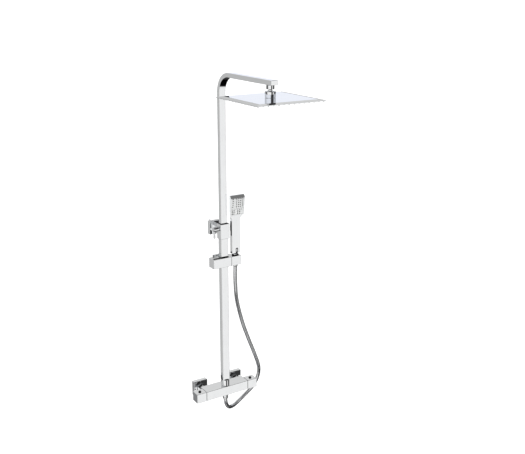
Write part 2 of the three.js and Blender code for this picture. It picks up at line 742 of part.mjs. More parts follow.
function handset() {
  const h = HANDSET;
  const halfHandle = h.width / 2;
  const halfHead = h.headWidth / 2;
  const span = (half) => [h.x - half, h.x + half];
  const lean = Math.tan((h.lean * Math.PI) / 180);
  const faceFoot = h.front - h.faceRise;
  const faceTop = faceFoot - (h.headTop - h.headBottom) * lean;

  // The head is a wedge: upright back, leaning face, with a chamfer round the top.
  const wedge = new THREE.Shape();
  wedge.moveTo(faceFoot, h.headBottom);
  wedge.lineTo(h.headBack, h.headBottom);
  wedge.lineTo(h.headBack - 5, h.headTop - 4);
  wedge.lineTo(h.headBack - 8, h.headTop);
  wedge.lineTo(faceTop + 1, h.headTop - 1);
  wedge.lineTo(faceTop, h.headTop - 4);
  // Seen from above, the head's two back corners are cut away.
  const plan = new THREE.Shape();
  plan.moveTo(h.x - halfHead, h.front - 40);
  plan.lineTo(h.x + halfHead, h.front - 40);
  plan.lineTo(h.x + halfHead, h.headBack - h.backCut);
  plan.lineTo(h.x + halfHead - h.backCut, h.headBack);
  plan.lineTo(h.x - halfHead + h.backCut, h.headBack);
  plan.lineTo(h.x - halfHead, h.headBack - h.backCut);
  const head = sideways(wedge, h.headWidth, 1.2)
    .translate([h.x, 0, 0])
    .intersect(prism(plan, [h.headBottom - 1, h.headTop + 1]));

  // The neck widens from the handle to the head, as a prism cut by its two slanting sides.
  const neckOutline = new THREE.Shape();
  const inset = 0.2;
  neckOutline.moveTo(h.x - halfHandle + inset, h.neckBottom);
  neckOutline.lineTo(h.x + halfHandle - inset, h.neckBottom);
  neckOutline.lineTo(h.x + halfHead - 2, h.neckTop + 2);
  neckOutline.lineTo(h.x - halfHead + 2, h.neckTop + 2);
  const neckProfile = new THREE.Shape();
  neckProfile.moveTo(h.front + inset, h.neckBottom);
  neckProfile.lineTo(h.back - inset, h.neckBottom);
  neckProfile.lineTo(h.headBack + 0.5, h.neckTop + 2);
  neckProfile.lineTo(faceFoot + 0.6, h.neckTop + 2);
  const frontOn = prism(neckOutline, [0, 60]).rotate([90, 0, 0]).translate([0, -60, 0]);
  const neck = sideways(neckProfile, h.headWidth, 0)
    .translate([h.x, 0, 0])
    .intersect(frontOn)
    .intersect(prism(plan, [h.neckBottom - 1, h.neckTop + 3]));

  const handleDepth = h.back - h.front;
  const handle = prism(roundedRect(h.width, handleDepth, 1.5), [h.bottom, h.neckBottom + 0.5]).translate([
    h.x,
    (h.front + h.back) / 2,
    0,
  ]);
  const rim = 4;
  const cavity = box(
    span(halfHead - rim),
    [faceFoot - 40, faceFoot + h.cavityDepth - 3],
    [h.headBottom + rim, h.headTop - rim - 3],
  ).intersect(
    sideways(leaningSlab(faceFoot, faceTop, h, -2, h.cavityDepth), h.headWidth, 0).translate([h.x, 0, 0]),
  );
  // The waterway climbs the handle and turns forwards into the head.
  const wayY = (h.front + h.back) / 2 - 1;
  const wayTop = h.headBottom + 9;
  const way = rod(HANDSET_INLET.bore, [h.bottom - 1, wayTop + 3], h.x, wayY, ROUND_SMALL).add(
    rodY(HANDSET_INLET.bore - 0.6, [faceFoot + 3, wayY], h.x, wayTop, ROUND_SMALL),
  );
  part("handset_body", handle.add(neck).add(head).subtract(cavity).subtract(way), chrome);

  // The spray face closes the cavity, over a rubber nozzle mat.
  const faceInset = rim + 0.4;
  const matInset = rim + 0.8;
  const face = sideways(leaningSlab(faceFoot, faceTop, h, -0.6, 2, faceInset), h.headWidth - 2 * faceInset, 0);
  part("handset_face", face.translate([h.x, 0, 0]), greyPlastic);
  const mat = sideways(leaningSlab(faceFoot, faceTop, h, 2.4, 4, matInset), h.headWidth - 2 * matInset, 0);
  part("handset_nozzle_mat", mat.translate([h.x, 0, 0]), silicone);

  // The tapered inlet below the handle sits in the holder's socket.
  const y = HOLDER.axisY;
  const { radius, neck: throat, length, bore } = HANDSET_INLET;
  const inlet = turned(
    [
      [0, h.bottom - length],
      [radius, h.bottom - length],
      [radius, h.bottom - 2],
      [throat, h.bottom - 2],
      [throat, h.bottom - GAP],
      [0, h.bottom - GAP],
    ],
    h.x,
    y,
    ROUND_SMALL,
  ).subtract(rod(bore, [h.bottom - length - 1, h.bottom], h.x, y, ROUND_SMALL));
  part("handset_inlet", inlet, blackPlastic);
}

// A slab parallel to the leaning spray face, between two depths behind it, inset all round.
function leaningSlab(faceFoot, faceTop, h, from, to, inset = 4) {
  const lean = (faceTop - faceFoot) / (h.headTop - h.headBottom);
  const low = h.headBottom + inset;
  const high = h.headTop - inset - 3;
  const at = (z, depth) => faceFoot + (z - h.headBottom) * lean + depth;
  const s = new THREE.Shape();
  s.moveTo(at(low, from), low);
  s.lineTo(at(low, to), low);
  s.lineTo(at(high, to), high);
  s.lineTo(at(high, from), high);
  return s;
}

// ---------------------------------------------------------------- rain head

// Points on a circle about the ball's centre, between two latitudes in degrees: [radius, z].
function zone(radius, from, to, steps) {
  return Array.from({ length: steps + 1 }, (_, i) => {
    const a = ((from + (i / steps) * (to - from)) * Math.PI) / 180;
    return [radius * Math.cos(a), BALL.z + radius * Math.sin(a)];
  });
}

function ballJoint() {
  const { y, z, radius, nutRadius, nutTop, nutBottom, waist, bore } = BALL;
  const neckLatitude = (Math.acos(waist / radius) * 180) / Math.PI;
  const ball = turned(
    [
      [0, z - radius],
      ...zone(radius, -80, neckLatitude, 9),
      [waist, nutBottom],
      [nutRadius - 1, nutBottom],
      [nutRadius, nutBottom + 1],
      [nutRadius, nutTop - 0.8],
      [nutRadius - 0.8, nutTop],
      [0, nutTop],
    ],
    0,
    y,
  );
  const stem = ball
    .add(rod(DRAIN_RADIUS - 0.8, [nutTop - 1, nutTop + 6], 0, y, ROUND_SMALL))
    .subtract(rod(bore, [z - radius - 1, nutTop + 7], 0, y, ROUND_SMALL));
  part("ball_stem", stem, chrome);

  // The collar holds the ball to the head. Its round pocket and open mouth leave room for the tilt.
  const mouth = (Math.asin((CUP.top - z) / CUP.pocket) * 180) / Math.PI;
  const pocket = turned(
    [[0, z + CUP.socketTop - 1], ...zone(CUP.pocket, -21, mouth, 6), [0, CUP.top]],
    0,
    y,
  );
  const opening = rod(CUP.pocket * Math.cos((mouth * Math.PI) / 180), [z, CUP.top + 1], 0, y);
  const ring = turned(
    [
      [0, CUP.bottom],
      [CUP.radius, CUP.bottom],
      [CUP.radius, CUP.top - 1.2],
      [CUP.radius - 1.2, CUP.top],
      [0, CUP.top],
    ],
    0,
    y,
  )
    .subtract(pocket)
    .subtract(opening)
    .subtract(rod(CUP.socketBore, [CUP.bottom - 1, z + CUP.socketTop], 0, y));
  part("ball_collar", ring, chrome);

  // The round-backed bearing ring between the ball and its collar.
  const { inner, outer, low, high } = BALL_SEAT;
  const outside = zone(outer, low, high, 3);
  const inside = zone(inner, high, low, 3);
  part("ball_seat", turned([...outside, ...inside, outside[0]], 0, y), blackPlastic);

  const sealTop = z + BALL_SEAL.top;
  const cone = turned(
    [
      [0, sealTop - BALL_SEAL.thick - 1],
      [BALL_SEAL.inner, sealTop - BALL_SEAL.thick - 1],
      [BALL_SEAL.outer, sealTop + 1],
      [0, sealTop + 1],
    ],
    0,
    y,
  );
  part("ball_seal", rod(BALL_SEAL.radius, [sealTop - BALL_SEAL.thick, sealTop], 0, y).subtract(cone), rubber);
}

// A square frustum between two heights: half sides at the bottom and the top.
function frustum(low, high, z, y) {
  const g = new THREE.CylinderGeometry(high * Math.SQRT2, low * Math.SQRT2, z[1] - z[0], 4);
  g.rotateX(Math.PI / 2);
  g.rotateZ(Math.PI / 4);
  return solid(g.translate(0, y, (z[0] + z[1]) / 2));
}

function rainHead() {
  const { side, rimBottom, rimTop, top, bevel, rimWidth, faceThick, matInset, matThick } = HEAD;
  const half = side / 2;
  const y = BALL.y;
  const faceHalf = half - rimWidth;
  const faceTop = rimBottom + faceThick;
  const socketTop = CUP.bottom + 0.9;
  const socket = rod(HEAD.socket, [top - 2, socketTop], 0, y).subtract(
    rod(HEAD.socketBore, [top - 3, socketTop + 1], 0, y, ROUND_SMALL),
  );
  const opening = faceHalf + GAP;
  const plate = frustum(half, half, [rimBottom, rimTop], y)
    .add(frustum(half, half - bevel, [rimTop - 0.001, top], y))
    .subtract(frustum(opening, opening, [rimBottom - 1, faceTop + GAP + matThick + 0.4], y))
    .add(socket)
    .subtract(rod(HEAD.inletBore, [rimBottom, socketTop + 1], 0, y, ROUND_SMALL));
  part("head_top_plate", plate, chrome);
  part("head_face_plate", frustum(faceHalf, faceHalf, [rimBottom, faceTop], y), steel);
  const matHalf = faceHalf - matInset;
  part("head_nozzle_mat", frustum(matHalf, matHalf, [faceTop + GAP, faceTop + GAP + matThick], y), silicone);
}

// ---------------------------------------------------------------- hose

function hose() {
  const points = HOSE_ROUTE.map((p) => new THREE.Vector3(...p));
  const curve = new THREE.CatmullRomCurve3(points, false, "centripetal");
  const section = new THREE.Shape();
  const sides = 10;
  for (let i = 0; i < sides; i++) {
    const a = (2 * Math.PI * i) / sides;
    const [x, y] = [HOSE_RADIUS * Math.cos(a), HOSE_RADIUS * Math.sin(a)];
    if (i) section.lineTo(x, y);
    else section.moveTo(x, y);
  }
  const steps = 34;
  const g = new THREE.ExtrudeGeometry(section, { steps, extrudePath: curve, bevelEnabled: false });
  part("hose", solid(g), steel);

  // The plain nut on the valve's outlet, and its washer.
  const outletZ = -VALVE.section / 2;
  const outletEnd = outletZ - OUTLET.length;
  const lowEnd = HOSE_ROUTE[HOSE_ROUTE.length - 1][2] + GAP;
  const { bore, waterBore, washer, washerThick, foot, radius, neck } = HOSE_NUT;
  const lower = turned(
    [
      [0, lowEnd],
      [foot, lowEnd],
      [radius, lowEnd + 2],
      [radius, outletZ - 2],
      [neck, outletZ - 1],
      [0, outletZ - 1],
    ],
    0,
    AXIS_Y,
  )
    .subtract(rod(OUTLET.radius + 0.4, [outletEnd - GAP - washerThick - 0.2, 0], 0, AXIS_Y, ROUND_SMALL))
    .subtract(rod(bore, [lowEnd - 1, 0], 0, AXIS_Y, ROUND_SMALL));
  part("hose_nut_valve_end", lower, chrome);
  const lowerWasher = rod(washer, [outletEnd - GAP - washerThick, outletEnd - GAP], 0, AXIS_Y, ROUND_SMALL)
    .subtract(rod(waterBore, [outletEnd - 3, outletEnd], 0, AXIS_Y, ROUND_SMALL));
  part("hose_washer_valve_end", lowerWasher, rubber);

  // The tapered nut on the handset's inlet, and its washer.
  const { x } = HANDSET;
  const y = HOLDER.axisY;
  const cone = HOSE_CONE;
  const highEnd = HOSE_ROUTE[0][2] + GAP;
  const inletEnd = HANDSET.bottom - HANDSET_INLET.length;
  const top = HANDSET.bottom + cone.top;
  const upper = turned(
    [
      [0, highEnd],
      [cone.foot, highEnd],
      [cone.low, highEnd + 2],
      [cone.high, top - 2],
      [cone.mouth, top],
      [0, top],
    ],
    x,
    y,
  )
    .subtract(rod(cone.bore, [inletEnd - GAP - washerThick - 0.3, top + 1], x, y, ROUND_SMALL))
    .subtract(rod(bore, [highEnd - 1, top], x, y, ROUND_SMALL));
  part("hose_nut_handset_end", upper, chrome);
  const upperWasher = rod(washer, [inletEnd - GAP - washerThick, inletEnd - GAP], x, y, ROUND_SMALL)
    .subtract(rod(waterBore, [inletEnd - 3, inletEnd], x, y, ROUND_SMALL));
  part("hose_washer_handset_end", upperWasher, rubber);
}

valve();
cartridges();
knobs();
inlets();
riserFoot();
lowerTube();
upperTube();
bracket();
collar();
lockLever();
slider();
holder();
handset();
ballJoint();
rainHead();
hose();

export default column;
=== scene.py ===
"""The looks of a square rainfall shower column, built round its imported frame.

The wall is the plane y = 0 and the column stands in front of it, towards -Y. Pieces are drawn in
millimetres, which block, turned and soften bring to metres. The hose and the studio are in metres.
"""
import math
from collections import namedtuple

import bmesh
import bpy
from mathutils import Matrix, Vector


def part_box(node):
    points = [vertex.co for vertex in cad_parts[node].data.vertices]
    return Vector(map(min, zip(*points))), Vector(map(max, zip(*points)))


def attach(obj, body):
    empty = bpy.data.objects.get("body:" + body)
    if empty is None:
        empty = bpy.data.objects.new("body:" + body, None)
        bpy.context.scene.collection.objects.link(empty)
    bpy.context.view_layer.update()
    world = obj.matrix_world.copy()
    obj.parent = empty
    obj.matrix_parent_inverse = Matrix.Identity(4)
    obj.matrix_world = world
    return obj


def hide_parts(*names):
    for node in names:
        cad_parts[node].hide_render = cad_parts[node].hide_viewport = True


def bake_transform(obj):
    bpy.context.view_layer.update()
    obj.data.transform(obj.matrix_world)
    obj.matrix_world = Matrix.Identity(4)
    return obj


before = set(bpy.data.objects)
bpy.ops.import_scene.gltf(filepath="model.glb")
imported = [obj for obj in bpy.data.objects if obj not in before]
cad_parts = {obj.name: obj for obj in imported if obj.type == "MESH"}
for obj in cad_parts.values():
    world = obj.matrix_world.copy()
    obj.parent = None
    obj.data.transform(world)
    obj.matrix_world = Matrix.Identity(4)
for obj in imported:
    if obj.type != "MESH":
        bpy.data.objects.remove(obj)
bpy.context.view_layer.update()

MM = 0.001

AXIS_Y = -76  # the valve's, riser's and slider's axis in front of the wall
INLET_X = 75
HALF_VALVE = 18
BALL_Y = -390
BALL_Z = 1163
LOCK_Z = 645  # the height lock's axis
HANDLE_X = 46  # the handset's axis, and its holder's
HANDLE_Y = -82
HEAD_HALF = 29  # half the width of the handset's head
HEAD_LEAN = math.tan(math.radians(8))
FLOOR_Z = -1.05  # the room's floor, well below the valve, in metres

HOSE_RADIUS = 7 * MM
HOSE_GROOVE = 0.28 * MM  # the depth of the grooves between its ribs
HOSE_RING = 0.35 * MM  # from one ring of its mesh to the next, eight of which make a rib
HOSE_ROUTE = [  # from the handset's nut down and round to the valve's outlet
    (0.046, -0.082, 0.493),
    (0.046, -0.0818, 0.484),
    (0.0466, -0.0798, 0.464),
    (0.0486, -0.076, 0.44),
    (0.0526, -0.0706, 0.409),
    (0.0586, -0.064, 0.372),
    (0.0668, -0.0576, 0.338),
    (0.077, -0.0524, 0.303),
    (0.088, -0.049, 0.267),
    (0.101, -0.047, 0.227),
    (0.115, -0.0464, 0.189),
    (0.129, -0.0465, 0.152),
    (0.143, -0.0462, 0.117),
    (0.155, -0.0453, 0.086),
    (0.1665, -0.0427, 0.056),
    (0.1746, -0.038, 0.03),
    (0.1774, -0.032, 0.004),
    (0.1746, -0.025, -0.022),
    (0.1664, -0.0189, -0.046),
    (0.1534, -0.0144, -0.066),
    (0.135, -0.012, -0.082),
    (0.113, -0.014, -0.0946),
    (0.092, -0.02, -0.1022),
    (0.072, -0.029, -0.1055),
    (0.053, -0.0395, -0.1045),
    (0.0375, -0.05, -0.0995),
    (0.024, -0.0594, -0.0915),
    (0.0135, -0.0668, -0.0805),
    (0.006, -0.0718, -0.0675),
    (0.0016, -0.075, -0.054),
    (0.0, -0.076, -0.044),
    (0.0, -0.076, -0.0395),
]
HOSE_TURN = 4  # the route point where the hose's length by the handset meets its length by the holder
HOSE_SWING = 7  # the route point where the hose's length by the holder meets the long loop


# ---------------------------------------------------------------- camera

def make_camera():
    data = bpy.data.cameras.new("camera")
    data.sensor_width = 36.0
    data.lens = 55.95
    camera = bpy.data.objects.new("camera", data)
    camera.location = (-1.3832, -2.5467, 1.4914)
    camera.rotation_euler = (math.radians(90 - 16.59), 0.0, math.radians(-32.13))
    bpy.context.scene.collection.objects.link(camera)
    bpy.context.scene.camera = camera


# ---------------------------------------------------------------- modelling by hand

Corner = namedtuple("Corner", "x y z")


def in_mm(corners):
    """Corners that the frame gives in metres, in millimetres."""
    return [Corner(*(round(value / MM, 4) for value in corner)) for corner in corners]


def metres(point):
    return Vector([value * MM for value in point])


def select_only(obj):
    bpy.ops.object.select_all(action="DESELECT")
    obj.select_set(True)
    bpy.context.view_layer.objects.active = obj


def settle(obj):
    """The object's place goes into its mesh."""
    select_only(obj)
    bpy.ops.object.transform_apply(location=True, rotation=True, scale=True)


def edit(obj):
    select_only(obj)
    bpy.ops.object.mode_set(mode="EDIT")
    bpy.ops.mesh.select_all(action="DESELECT")


def pick_faces(obj, test):
    """In edit mode, selects the faces that pass a test, and nothing else."""
    bpy.ops.mesh.select_mode(type="FACE")
    bpy.ops.mesh.select_all(action="DESELECT")
    mesh = bmesh.from_edit_mesh(obj.data)
    for face in mesh.faces:
        face.select_set(test(face))
    bmesh.update_edit_mesh(obj.data)


def pick_edges(obj, test):
    """In edit mode, selects the edges that pass a test, and nothing else."""
    bpy.ops.mesh.select_mode(type="EDGE")
    bpy.ops.mesh.select_all(action="DESELECT")
    mesh = bmesh.from_edit_mesh(obj.data)
    for edge in mesh.edges:
        edge.select_set(test(edge))
    bmesh.update_edit_mesh(obj.data)


def faces_towards(axis, sign):
    return lambda face: face.normal[axis] * sign > 0.9


def edges_along(axis):
    def test(edge):
        run = edge.verts[1].co - edge.verts[0].co
        return abs(run[axis]) > 0.99 * run.length
    return test


def leave_edit():
    bpy.ops.object.mode_set(mode="OBJECT")


def apply(obj, modifier):
    select_only(obj)
    bpy.ops.object.modifier_apply(modifier=modifier.name)


def soften(obj, width, segments=3, angle=30):
    """Rounds every sharp edge."""
    bevel = obj.modifiers.new("round", "BEVEL")
    bevel.width = width * MM
    bevel.segments = segments
    bevel.limit_method = "ANGLE"
    bevel.angle_limit = math.radians(angle)
    apply(obj, bevel)


def combine(obj, other, operation):
    boolean = obj.modifiers.new("combine", "BOOLEAN")
    boolean.object = other
    boolean.operation = operation
    boolean.solver = "EXACT"
    apply(obj, boolean)
    bpy.data.objects.remove(other, do_unlink=True)


def cut(obj, *tools):
    for tool in tools:
        combine(obj, tool, "DIFFERENCE")


def fuse(obj, *others):
    for other in others:
        combine(obj, other, "UNION")


def join(obj, *others):
    """Several closed shells as one piece."""
    select_only(obj)
    for other in others:
        other.select_set(True)
    bpy.ops.object.join()


def block(name, low, high, edge=0.0, segments=3):
    """A rectangular block between two corners, its edges rounded."""
    low, high = metres(low), metres(high)
    bpy.ops.mesh.primitive_cube_add(size=1, location=(low + high) / 2)
    obj = bpy.context.object
    obj.name = name
    obj.scale = high - low
    settle(obj)
    if edge:
        soften(obj, edge, segments)
    return obj


TURNS = {"x": (0, math.pi / 2, 0), "y": (-math.pi / 2, 0, 0), "z": (0, 0, 0)}


def turned(name, rings, place=(0, 0, 0), axis="z", sides=48):
    """A turned piece: (radius, height) rings from one end to the other, about an axis through place."""
    radius, height = rings[0]
    bpy.ops.mesh.primitive_circle_add(vertices=sides, radius=radius * MM, fill_type="NGON")
    obj = bpy.context.object
    obj.name = name
    obj.location.z = height * MM
    settle(obj)
    edit(obj)
    bpy.ops.mesh.select_all(action="SELECT")
    for wide, high in rings[1:]:
        bpy.ops.mesh.extrude_region_move(TRANSFORM_OT_translate={"value": (0, 0, (high - height) * MM)})
        scale = wide / radius
        if scale != 1:
            bpy.ops.transform.resize(value=(scale, scale, 1), center_override=(0, 0, high * MM))
        radius, height = wide, high
    bpy.ops.mesh.select_all(action="SELECT")
    bpy.ops.mesh.normals_make_consistent(inside=False)
    leave_edit()
    obj.rotation_euler = TURNS[axis]
    obj.location = metres(place)
    settle(obj)
    return obj


def rod(radius, span, place=(0, 0, 0), axis="z", sides=48):
    return turned("rod", [(radius, span[0]), (radius, span[1])], place, axis, sides)


def round_uprights(obj, width, segments):
    """In edit mode, rounds the upright edges."""
    pick_edges(obj, edges_along(2))
    bpy.ops.mesh.bevel(offset=width * MM, segments=segments, affect="EDGES")


def wall_cover(name, low, high, rounding, wall, corner):
    """A hollow square cover that stands on the wall, rounded but for its edges at the wall."""
    cover = block(name, low, high)
    edit(cover)
    pick_edges(cover, lambda edge: not all(v.co.y > -MM for v in edge.verts))
    bpy.ops.mesh.bevel(offset=rounding * MM, segments=4, affect="EDGES")
    leave_edit()
    near = (low.x + wall, low.y + wall, low.z + wall)
    cut(cover, block("inside", near, (high.x - wall, 1, high.z - wall), corner))
    return cover


def copy_of(obj, name, mirror=False):
    """A copy with its own mesh, mirrored to the other side of the column where asked."""
    select_only(obj)
    bpy.ops.object.duplicate()
    made = bpy.context.object
    made.name = name
    if mirror:
        made.scale.x = -1
        settle(made)
        edit(made)
        bpy.ops.mesh.select_all(action="SELECT")
        bpy.ops.mesh.normals_make_consistent(inside=False)
        leave_edit()
    return made


def smooth(obj, angle=32):
    """Round where it is round, and truly flat on its flats."""
    select_only(obj)
    bpy.ops.object.shade_smooth_by_angle(angle=math.radians(angle))
    weighted = obj.modifiers.new("flats", "WEIGHTED_NORMAL")
    weighted.keep_sharp = True
    apply(obj, weighted)


def finish(obj, body, slot, material, *nodes):
    """Hands a finished piece over: its surface, its body and the frame's nodes that it stands for."""
    smooth(obj)
    obj.data.materials.clear()
    obj.data.materials.append(material)
    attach(obj, body)
    if nodes:
        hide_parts(*nodes)


def finish_both(right, left_name, slot, material, right_fit, left_fit):
    """Finishes a piece and its mirror image; a fit is the body that it rides on and its node."""
    left = copy_of(right, left_name, mirror=True)
    for obj, (body, node) in ((right, right_fit), (left, left_fit)):
        finish(obj, body, slot, material, node)


# ---------------------------------------------------------------- hose

def between(points, steps):
    """A smooth line through the points, each span cut into equal steps."""
    ends = [2 * points[0] - points[1], *points, 2 * points[-1] - points[-2]]
    line = []
    for span in zip(ends, ends[1:], ends[2:], ends[3:]):
        knots = [0.0]
        for p, q in zip(span, span[1:]):
            knots.append(knots[-1] + math.sqrt((q - p).length))
        for i in range(steps):
            share = i / steps
            t = knots[1] + (knots[2] - knots[1]) * share
            level = span
            for reach in (1, 2):
                level = [
                    p.lerp(q, (t - knots[j]) / (knots[j + reach] - knots[j]))
                    for j, (p, q) in enumerate(zip(level, level[1:]))
                ]
            line.append(level[0].lerp(level[1], share))
    line.append(points[-1].copy())
    return line


def evenly(line, pitch):
    """The same line with its points a steady distance apart."""
    runs = [0.0]
    for p, q in zip(line, line[1:]):
        runs.append(runs[-1] + (q - p).length)
    count = 8 * max(2, round(runs[-1] / pitch / 8))
    made, k = [], 0
    for i in range(count + 1):
        along = runs[-1] * i / count
        while k < len(runs) - 2 and runs[k + 1] < along:
            k += 1
        share = (along - runs[k]) / (runs[k + 1] - runs[k])
        made.append(line[k].lerp(line[k + 1], min(1.0, share)))
    return made


def ribbed_tube(name, line, crest, groove, sides=20):
    """A tube along a line whose rings make flat ribs with narrow grooves between them."""
    profile = [groove, crest, crest, crest, crest, crest, crest, crest]
    mesh = bmesh.new()
    rings = []
    ahead = (line[1] - line[0]).normalized()
    side = ahead.orthogonal().normalized()
    for i, point in enumerate(line):
        before = line[max(0, i - 1)]
        after = line[min(len(line) - 1, i + 1)]
        ahead = (after - before).normalized()
        side = (side - ahead * side.dot(ahead)).normalized()
        across = ahead.cross(side)
        radius = profile[i % len(profile)]
        ring = []
        for k in range(sides):
            angle = 2 * math.pi * k / sides
            ring.append(mesh.verts.new(point + radius * (math.cos(angle) * side + math.sin(angle) * across)))
        rings.append(ring)
    for low, high in zip(rings, rings[1:]):
        for k in range(sides):
            n = (k + 1) % sides
            mesh.faces.new((low[k], low[n], high[n], high[k]))
    mesh.faces.new(list(reversed(rings[0])))
    mesh.faces.new(rings[-1])
    data = bpy.data.meshes.new(name)
    mesh.to_mesh(data)
    mesh.free()
    obj = bpy.data.objects.new(name, data)
    bpy.context.scene.collection.objects.link(obj)
    select_only(obj)
    edit(obj)
    bpy.ops.mesh.select_all(action="SELECT")
    bpy.ops.mesh.normals_make_consistent(inside=False)
    leave_edit()
    bpy.ops.object.shade_smooth_by_angle(angle=math.radians(30))
    return obj


def make_hose(steel):
    """The hose in three lengths that meet end to end: by the handset, by the holder, and the long loop."""
    points = [Vector(p) for p in HOSE_ROUTE]
    steps = 24
    dense = between(points, steps)
    swing, turn = points[HOSE_SWING].z, points[HOSE_TURN].z
    lengths = [
        # name, first and last route point, the bodies it joins, and where one gives way to the other
        ("hose_loop", HOSE_SWING, len(points) - 1, "column", "slider", 30 * MM, swing),
        ("hose_bend", HOSE_TURN, HOSE_SWING, "slider", "holder", swing, turn),
        ("hose_neck", 0, HOSE_TURN, "holder", "handset", turn, points[0].z),
    ]
    made = []
    for name, first, last, fixed, moved, start, end in lengths:
        line = evenly(dense[first * steps : last * steps + 1], HOSE_RING)
        piece = ribbed_tube(name, line, HOSE_RADIUS, HOSE_RADIUS - HOSE_GROOVE)
        piece.data.materials.append(steel)
        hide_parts("hose")
        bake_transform(piece)
        made.append((piece, line))
    return made


# ---------------------------------------------------------------- materials

def socket(group, name, kind, way="INPUT", value=None):
    made = group.interface.new_socket(name=name, in_out=way, socket_type=kind)
    if value is not None:
        made.default_value = value


def link(tree, source, target):
    tree.links.new(source, target)


def math_node(tree, operation, a, b):
    node = tree.nodes.new("ShaderNodeMath")
    node.operation = operation
    for i, value in enumerate((a, b)):
        if isinstance(value, (int, float)):
            node.inputs[i].default_value = value
        else:
            link(tree, value, node.inputs[i])
    return node.outputs[0]


def handled_surface():
    """Smudges from hands and dried water: a roughness that wanders, and a fine unevenness."""
    group = bpy.data.node_groups.new("handled_surface", "ShaderNodeTree")
    socket(group, "Roughness", "NodeSocketFloat", value=0.05)
    socket(group, "Smudge", "NodeSocketFloat", value=0.05)
    socket(group, "Grain", "NodeSocketFloat", value=900.0)
    socket(group, "Relief", "NodeSocketFloat", value=0.02)
    socket(group, "Roughness", "NodeSocketFloat", "OUTPUT")
    socket(group, "Mask", "NodeSocketFloat", "OUTPUT")
    socket(group, "Normal", "NodeSocketVector", "OUTPUT")
    inputs = group.nodes.new("NodeGroupInput").outputs
    outputs = group.nodes.new("NodeGroupOutput").inputs
    place = group.nodes.new("ShaderNodeTexCoord").outputs["Object"]

    broad = group.nodes.new("ShaderNodeTexNoise")
    broad.inputs["Scale"].default_value = 22.0
    broad.inputs["Detail"].default_value = 5.0
    broad.inputs["Roughness"].default_value = 0.62
    link(group, place, broad.inputs["Vector"])
    shape = group.nodes.new("ShaderNodeValToRGB")
    shape.color_ramp.elements[0].position = 0.42
    shape.color_ramp.elements[1].position = 0.72
    link(group, broad.outputs["Fac"], shape.inputs["Fac"])
    smudge = math_node(group, "MULTIPLY", shape.outputs["Color"], inputs["Smudge"])
    link(group, math_node(group, "ADD", inputs["Roughness"], smudge), outputs["Roughness"])
    link(group, shape.outputs["Color"], outputs["Mask"])

    fine = group.nodes.new("ShaderNodeTexNoise")
    fine.inputs["Detail"].default_value = 2.0
    link(group, place, fine.inputs["Vector"])
    link(group, inputs["Grain"], fine.inputs["Scale"])
    bump = group.nodes.new("ShaderNodeBump")
    bump.inputs["Distance"].default_value = 0.0002
    link(group, inputs["Relief"], bump.inputs["Strength"])
    link(group, fine.outputs["Fac"], bump.inputs["Height"])
    link(group, bump.outputs["Normal"], outputs["Normal"])
    return group


def new_material(name):
    material = bpy.data.materials.new(name)
    material.use_nodes = True
    tree = material.node_tree
    return material, tree, tree.nodes["Principled BSDF"]


def handled(tree, group, shader, roughness, smudge, grain, relief):
    node = tree.nodes.new("ShaderNodeGroup")
    node.node_tree = group
    node.inputs["Roughness"].default_value = roughness
    node.inputs["Smudge"].default_value = smudge
    node.inputs["Grain"].default_value = grain
    node.inputs["Relief"].default_value = relief
    link(tree, node.outputs["Roughness"], shader.inputs["Roughness"])
    link(tree, node.outputs["Normal"], shader.inputs["Normal"])
    return node


def mixed(tree, factor, first, second, blend="MIX"):
    """Two colours mixed; each value is a plain one or another node's output."""
    mix = tree.nodes.new("ShaderNodeMix")
    mix.data_type = "RGBA"
    mix.blend_type = blend
    for name, value in (("Factor", factor), ("A", first), ("B", second)):
        if isinstance(value, bpy.types.NodeSocket):
            link(tree, value, mix.inputs[name])
        else:
            mix.inputs[name].default_value = value
    return mix.outputs["Result"]


def make_materials():
    group = handled_surface()
    looks = {
        # name: metal, plain colour, marked colour, roughness, smudge, grain, relief, shine
        "chrome": (1, (0.885, 0.895, 0.90), (0.86, 0.868, 0.875), 0.03, 0.03, 260, 0.01, 0.5),
        "satin_steel": (1, (0.80, 0.81, 0.82), (0.70, 0.71, 0.72), 0.16, 0.12, 1400, 0.10, 0.5),
        "hose_steel": (1, (0.88, 0.885, 0.89), (0.80, 0.81, 0.82), 0.04, 0.05, 700, 0.02, 0.5),
        "machined_brass": (1, (0.78, 0.62, 0.30), (0.62, 0.46, 0.20), 0.20, 0.15, 1200, 0.10, 0.5),
        "black_plastic": (0, (0.006, 0.006, 0.007), (0.014, 0.014, 0.015), 0.30, 0.20, 1500, 0.06, 0.12),
        "pale_plastic": (0.65, (0.93, 0.94, 0.935), (0.90, 0.905, 0.90), 0.18, 0.12, 900, 0.04, 0.5),
        "black_rubber": (0, (0.02, 0.02, 0.02), (0.045, 0.045, 0.045), 0.65, 0.2, 1800, 0.25, 0.3),
        "grey_silicone": (0, (0.022, 0.023, 0.024), (0.04, 0.041, 0.043), 0.45, 0.15, 1500, 0.12, 0.2),
    }
    made = {}
    for name, (metal, plain, marked, roughness, smudge, grain, relief, shine) in looks.items():
        material, tree, shader = new_material(name)
        shader.inputs["Metallic"].default_value = metal
        shader.inputs["Specular IOR Level"].default_value = shine
        node = handled(tree, group, shader, roughness, smudge, grain, relief)
        colour = mixed(tree, node.outputs["Mask"], (*plain, 1), (*marked, 1))
        link(tree, colour, shader.inputs["Base Color"])
        made[name] = material
    return made


# ---------------------------------------------------------------- valve

